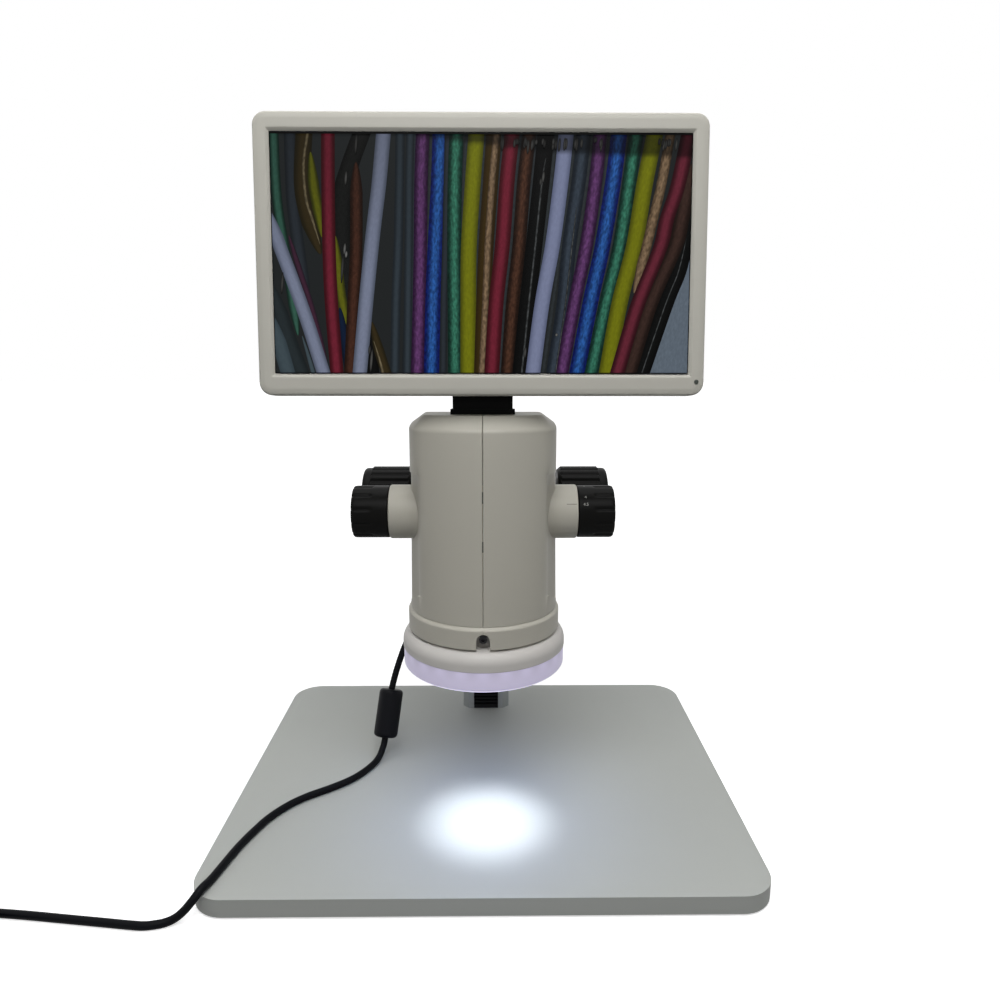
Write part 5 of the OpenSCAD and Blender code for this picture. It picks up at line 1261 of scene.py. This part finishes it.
# How far their edges are rounded, in mm
for node, width in {
    "base_plate": 1.2, "rubber_feet": 0.6, "column": 0.6, "column_cap": 0.8, "focus_carriage": 1.2,
    "head_arm": 1.6, "display_bracket": 0.6, "display_cover": 1.0, "display_mount": 0.7, "hinge_pin": 0.5,
    "menu_button": 0.3, "down_button": 0.3, "up_button": 0.3, "source_button": 0.3, "power_button": 0.3,
}.items():
    softened(node, width)

for node, thing in NODES.items():
    thing.data.materials.clear()
    thing.data.materials.append(MATERIALS[SLOTS[node]])


# ------------------------------------------------------------------ floor, lamps and world

# Half the floor's width in metres; the light that lifts it to white, at two distances from the middle
FLOOR_REACH = 6.0
NEAR, NEAR_LIFT = 0.35, 0.6
FAR_OUT, FAR_LIFT = 1.2, 1.0
# The sky's strength at the horizon and high up
HORIZON, ZENITH = 0.14, 0.26
# Powers of the lamps in watts
ABOVE_W, KEY_W, SIDE_W, BEAM_W, HALO_W = 7.5, 4.1, 0.8, 1.35, 0.35
# The ring light's lamps stand a little right of the optical axis and lean forward a little
BEAM_X, LEAN = 2, 1


def seen_rays(tree):
    """Two sockets: 1 for rays straight from the camera, and 1 for those and reflected or transmitted ones."""
    rays = add(tree, "ShaderNodeLightPath")
    camera_ray = seen = rays.outputs["Is Camera Ray"]
    for kind in ("Is Glossy Ray", "Is Transmission Ray"):
        either = add(tree, "ShaderNodeMath", operation="MAXIMUM", pin0=seen, pin1=rays.outputs[kind])
        seen = either.outputs[0]
    return camera_ray, seen


def floor():
    """A wide pale floor: a matt surface that keeps shadows, lifted to the background's white when seen."""
    mesh = bpy.data.meshes.new("floor")
    r = FLOOR_REACH
    mesh.from_pydata([(-r, -r, 0), (r, -r, 0), (r, r, 0), (-r, r, 0)], [], [(0, 1, 2, 3)])
    made = placed("floor", mesh)
    look = bpy.data.materials.new("pale_floor")
    tree = emptied(look)
    camera_ray, seen = seen_rays(tree)
    place = add(tree, "ShaderNodeTexCoord").outputs["Object"]
    away = add(tree, "ShaderNodeVectorMath", operation="LENGTH", pin0=place)
    level = add(
        tree, "ShaderNodeMapRange", Value=away.outputs["Value"], pin1=NEAR, pin2=FAR_OUT, pin3=NEAR_LIFT,
        pin4=FAR_LIFT, interpolation_type="SMOOTHSTEP",
    )
    lift = add(tree, "ShaderNodeMath", operation="MULTIPLY", pin0=seen, pin1=level.outputs[0])
    paint = add(
        tree, "ShaderNodeMix", data_type="RGBA", pin0=camera_ray, pin6=linear("858585"), pin7=linear("f2f2f2")
    )
    matt = add(tree, "ShaderNodeBsdfDiffuse", Color=paint.outputs[2])
    light = add(tree, "ShaderNodeEmission", Strength=lift.outputs[0])
    both = add(tree, "ShaderNodeAddShader", pin0=matt.outputs[0], pin1=light.outputs[0])
    add(tree, "ShaderNodeOutputMaterial", Surface=both.outputs[0])
    mesh.materials.append(look)


def world():
    """Soft light that grows from the horizon up, and plain white where the camera or a reflection sees it."""
    made = bpy.data.worlds.new("studio")
    bpy.context.scene.world = made
    tree = emptied(made)
    seen = seen_rays(tree)[1]
    way = add(tree, "ShaderNodeTexCoord").outputs["Generated"]
    height = add(tree, "ShaderNodeSeparateXYZ", Vector=way).outputs[2]
    sky = add(tree, "ShaderNodeMapRange", Value=height, pin1=0.0, pin2=0.8, pin3=HORIZON, pin4=ZENITH)
    strength = add(tree, "ShaderNodeMapRange", Value=seen, pin3=sky.outputs[0], pin4=1.0)
    back = add(tree, "ShaderNodeBackground", Color=linear("ffffff"), Strength=strength.outputs[0])
    add(tree, "ShaderNodeOutputWorld", Surface=back.outputs[0])


def lamp(name, kind, place, aim, power, size=0.1, colour="ffffff", **settings):
    """A lamp at place, in mm, that points at aim."""
    data = bpy.data.lights.new(name, kind)
    data.energy = power
    data.color = linear(colour)[:3]
    if kind == "AREA":
        data.shape = "DISK"
        data.size = size
    else:
        data.shadow_soft_size = size
    for key, value in settings.items():
        setattr(data, key, value)
    made = placed(name, data)
    away = np.array(place, float) - np.array(aim, float)
    away /= np.linalg.norm(away)
    across = np.cross([0.0, 1.0, 0.0] if abs(away[2]) > 0.9 else [0.0, 0.0, 1.0], away)
    across /= np.linalg.norm(across)
    made.matrix_world = standing(across, np.cross(away, across), away, place)
    return made


floor()
world()
lamp("above", "AREA", (0, -40, 1500), (0, -60, 100), ABOVE_W, size=1.2)
lamp("key", "AREA", (0, -600, 900), (0, -90, 280), KEY_W, size=0.5)
for side, label in SIDE_NAMES.items():
    lamp(f"side_{label}", "AREA", (side * 1000, -250, 950), (0, -60, 240), SIDE_W, size=0.8)
ring_lamp = lamp(
    "ring_beam", "SPOT", (BEAM_X, AXIS_Y, 146), (BEAM_X, AXIS_Y - LEAN, 0), BEAM_W, size=0.012,
    colour="ecf1ff", spot_size=math.radians(45), spot_blend=1.0,
)
halo_lamp = lamp(
    "ring_halo", "SPOT", (BEAM_X, AXIS_Y, 140), (BEAM_X, AXIS_Y - LEAN, 0), HALO_W, size=0.03,
    colour="b9cfff", spot_size=math.radians(120), spot_blend=1.0,
)
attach(halo_lamp, "head")
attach(ring_lamp, "head")

bpy.context.scene.view_settings.view_transform = "Standard"
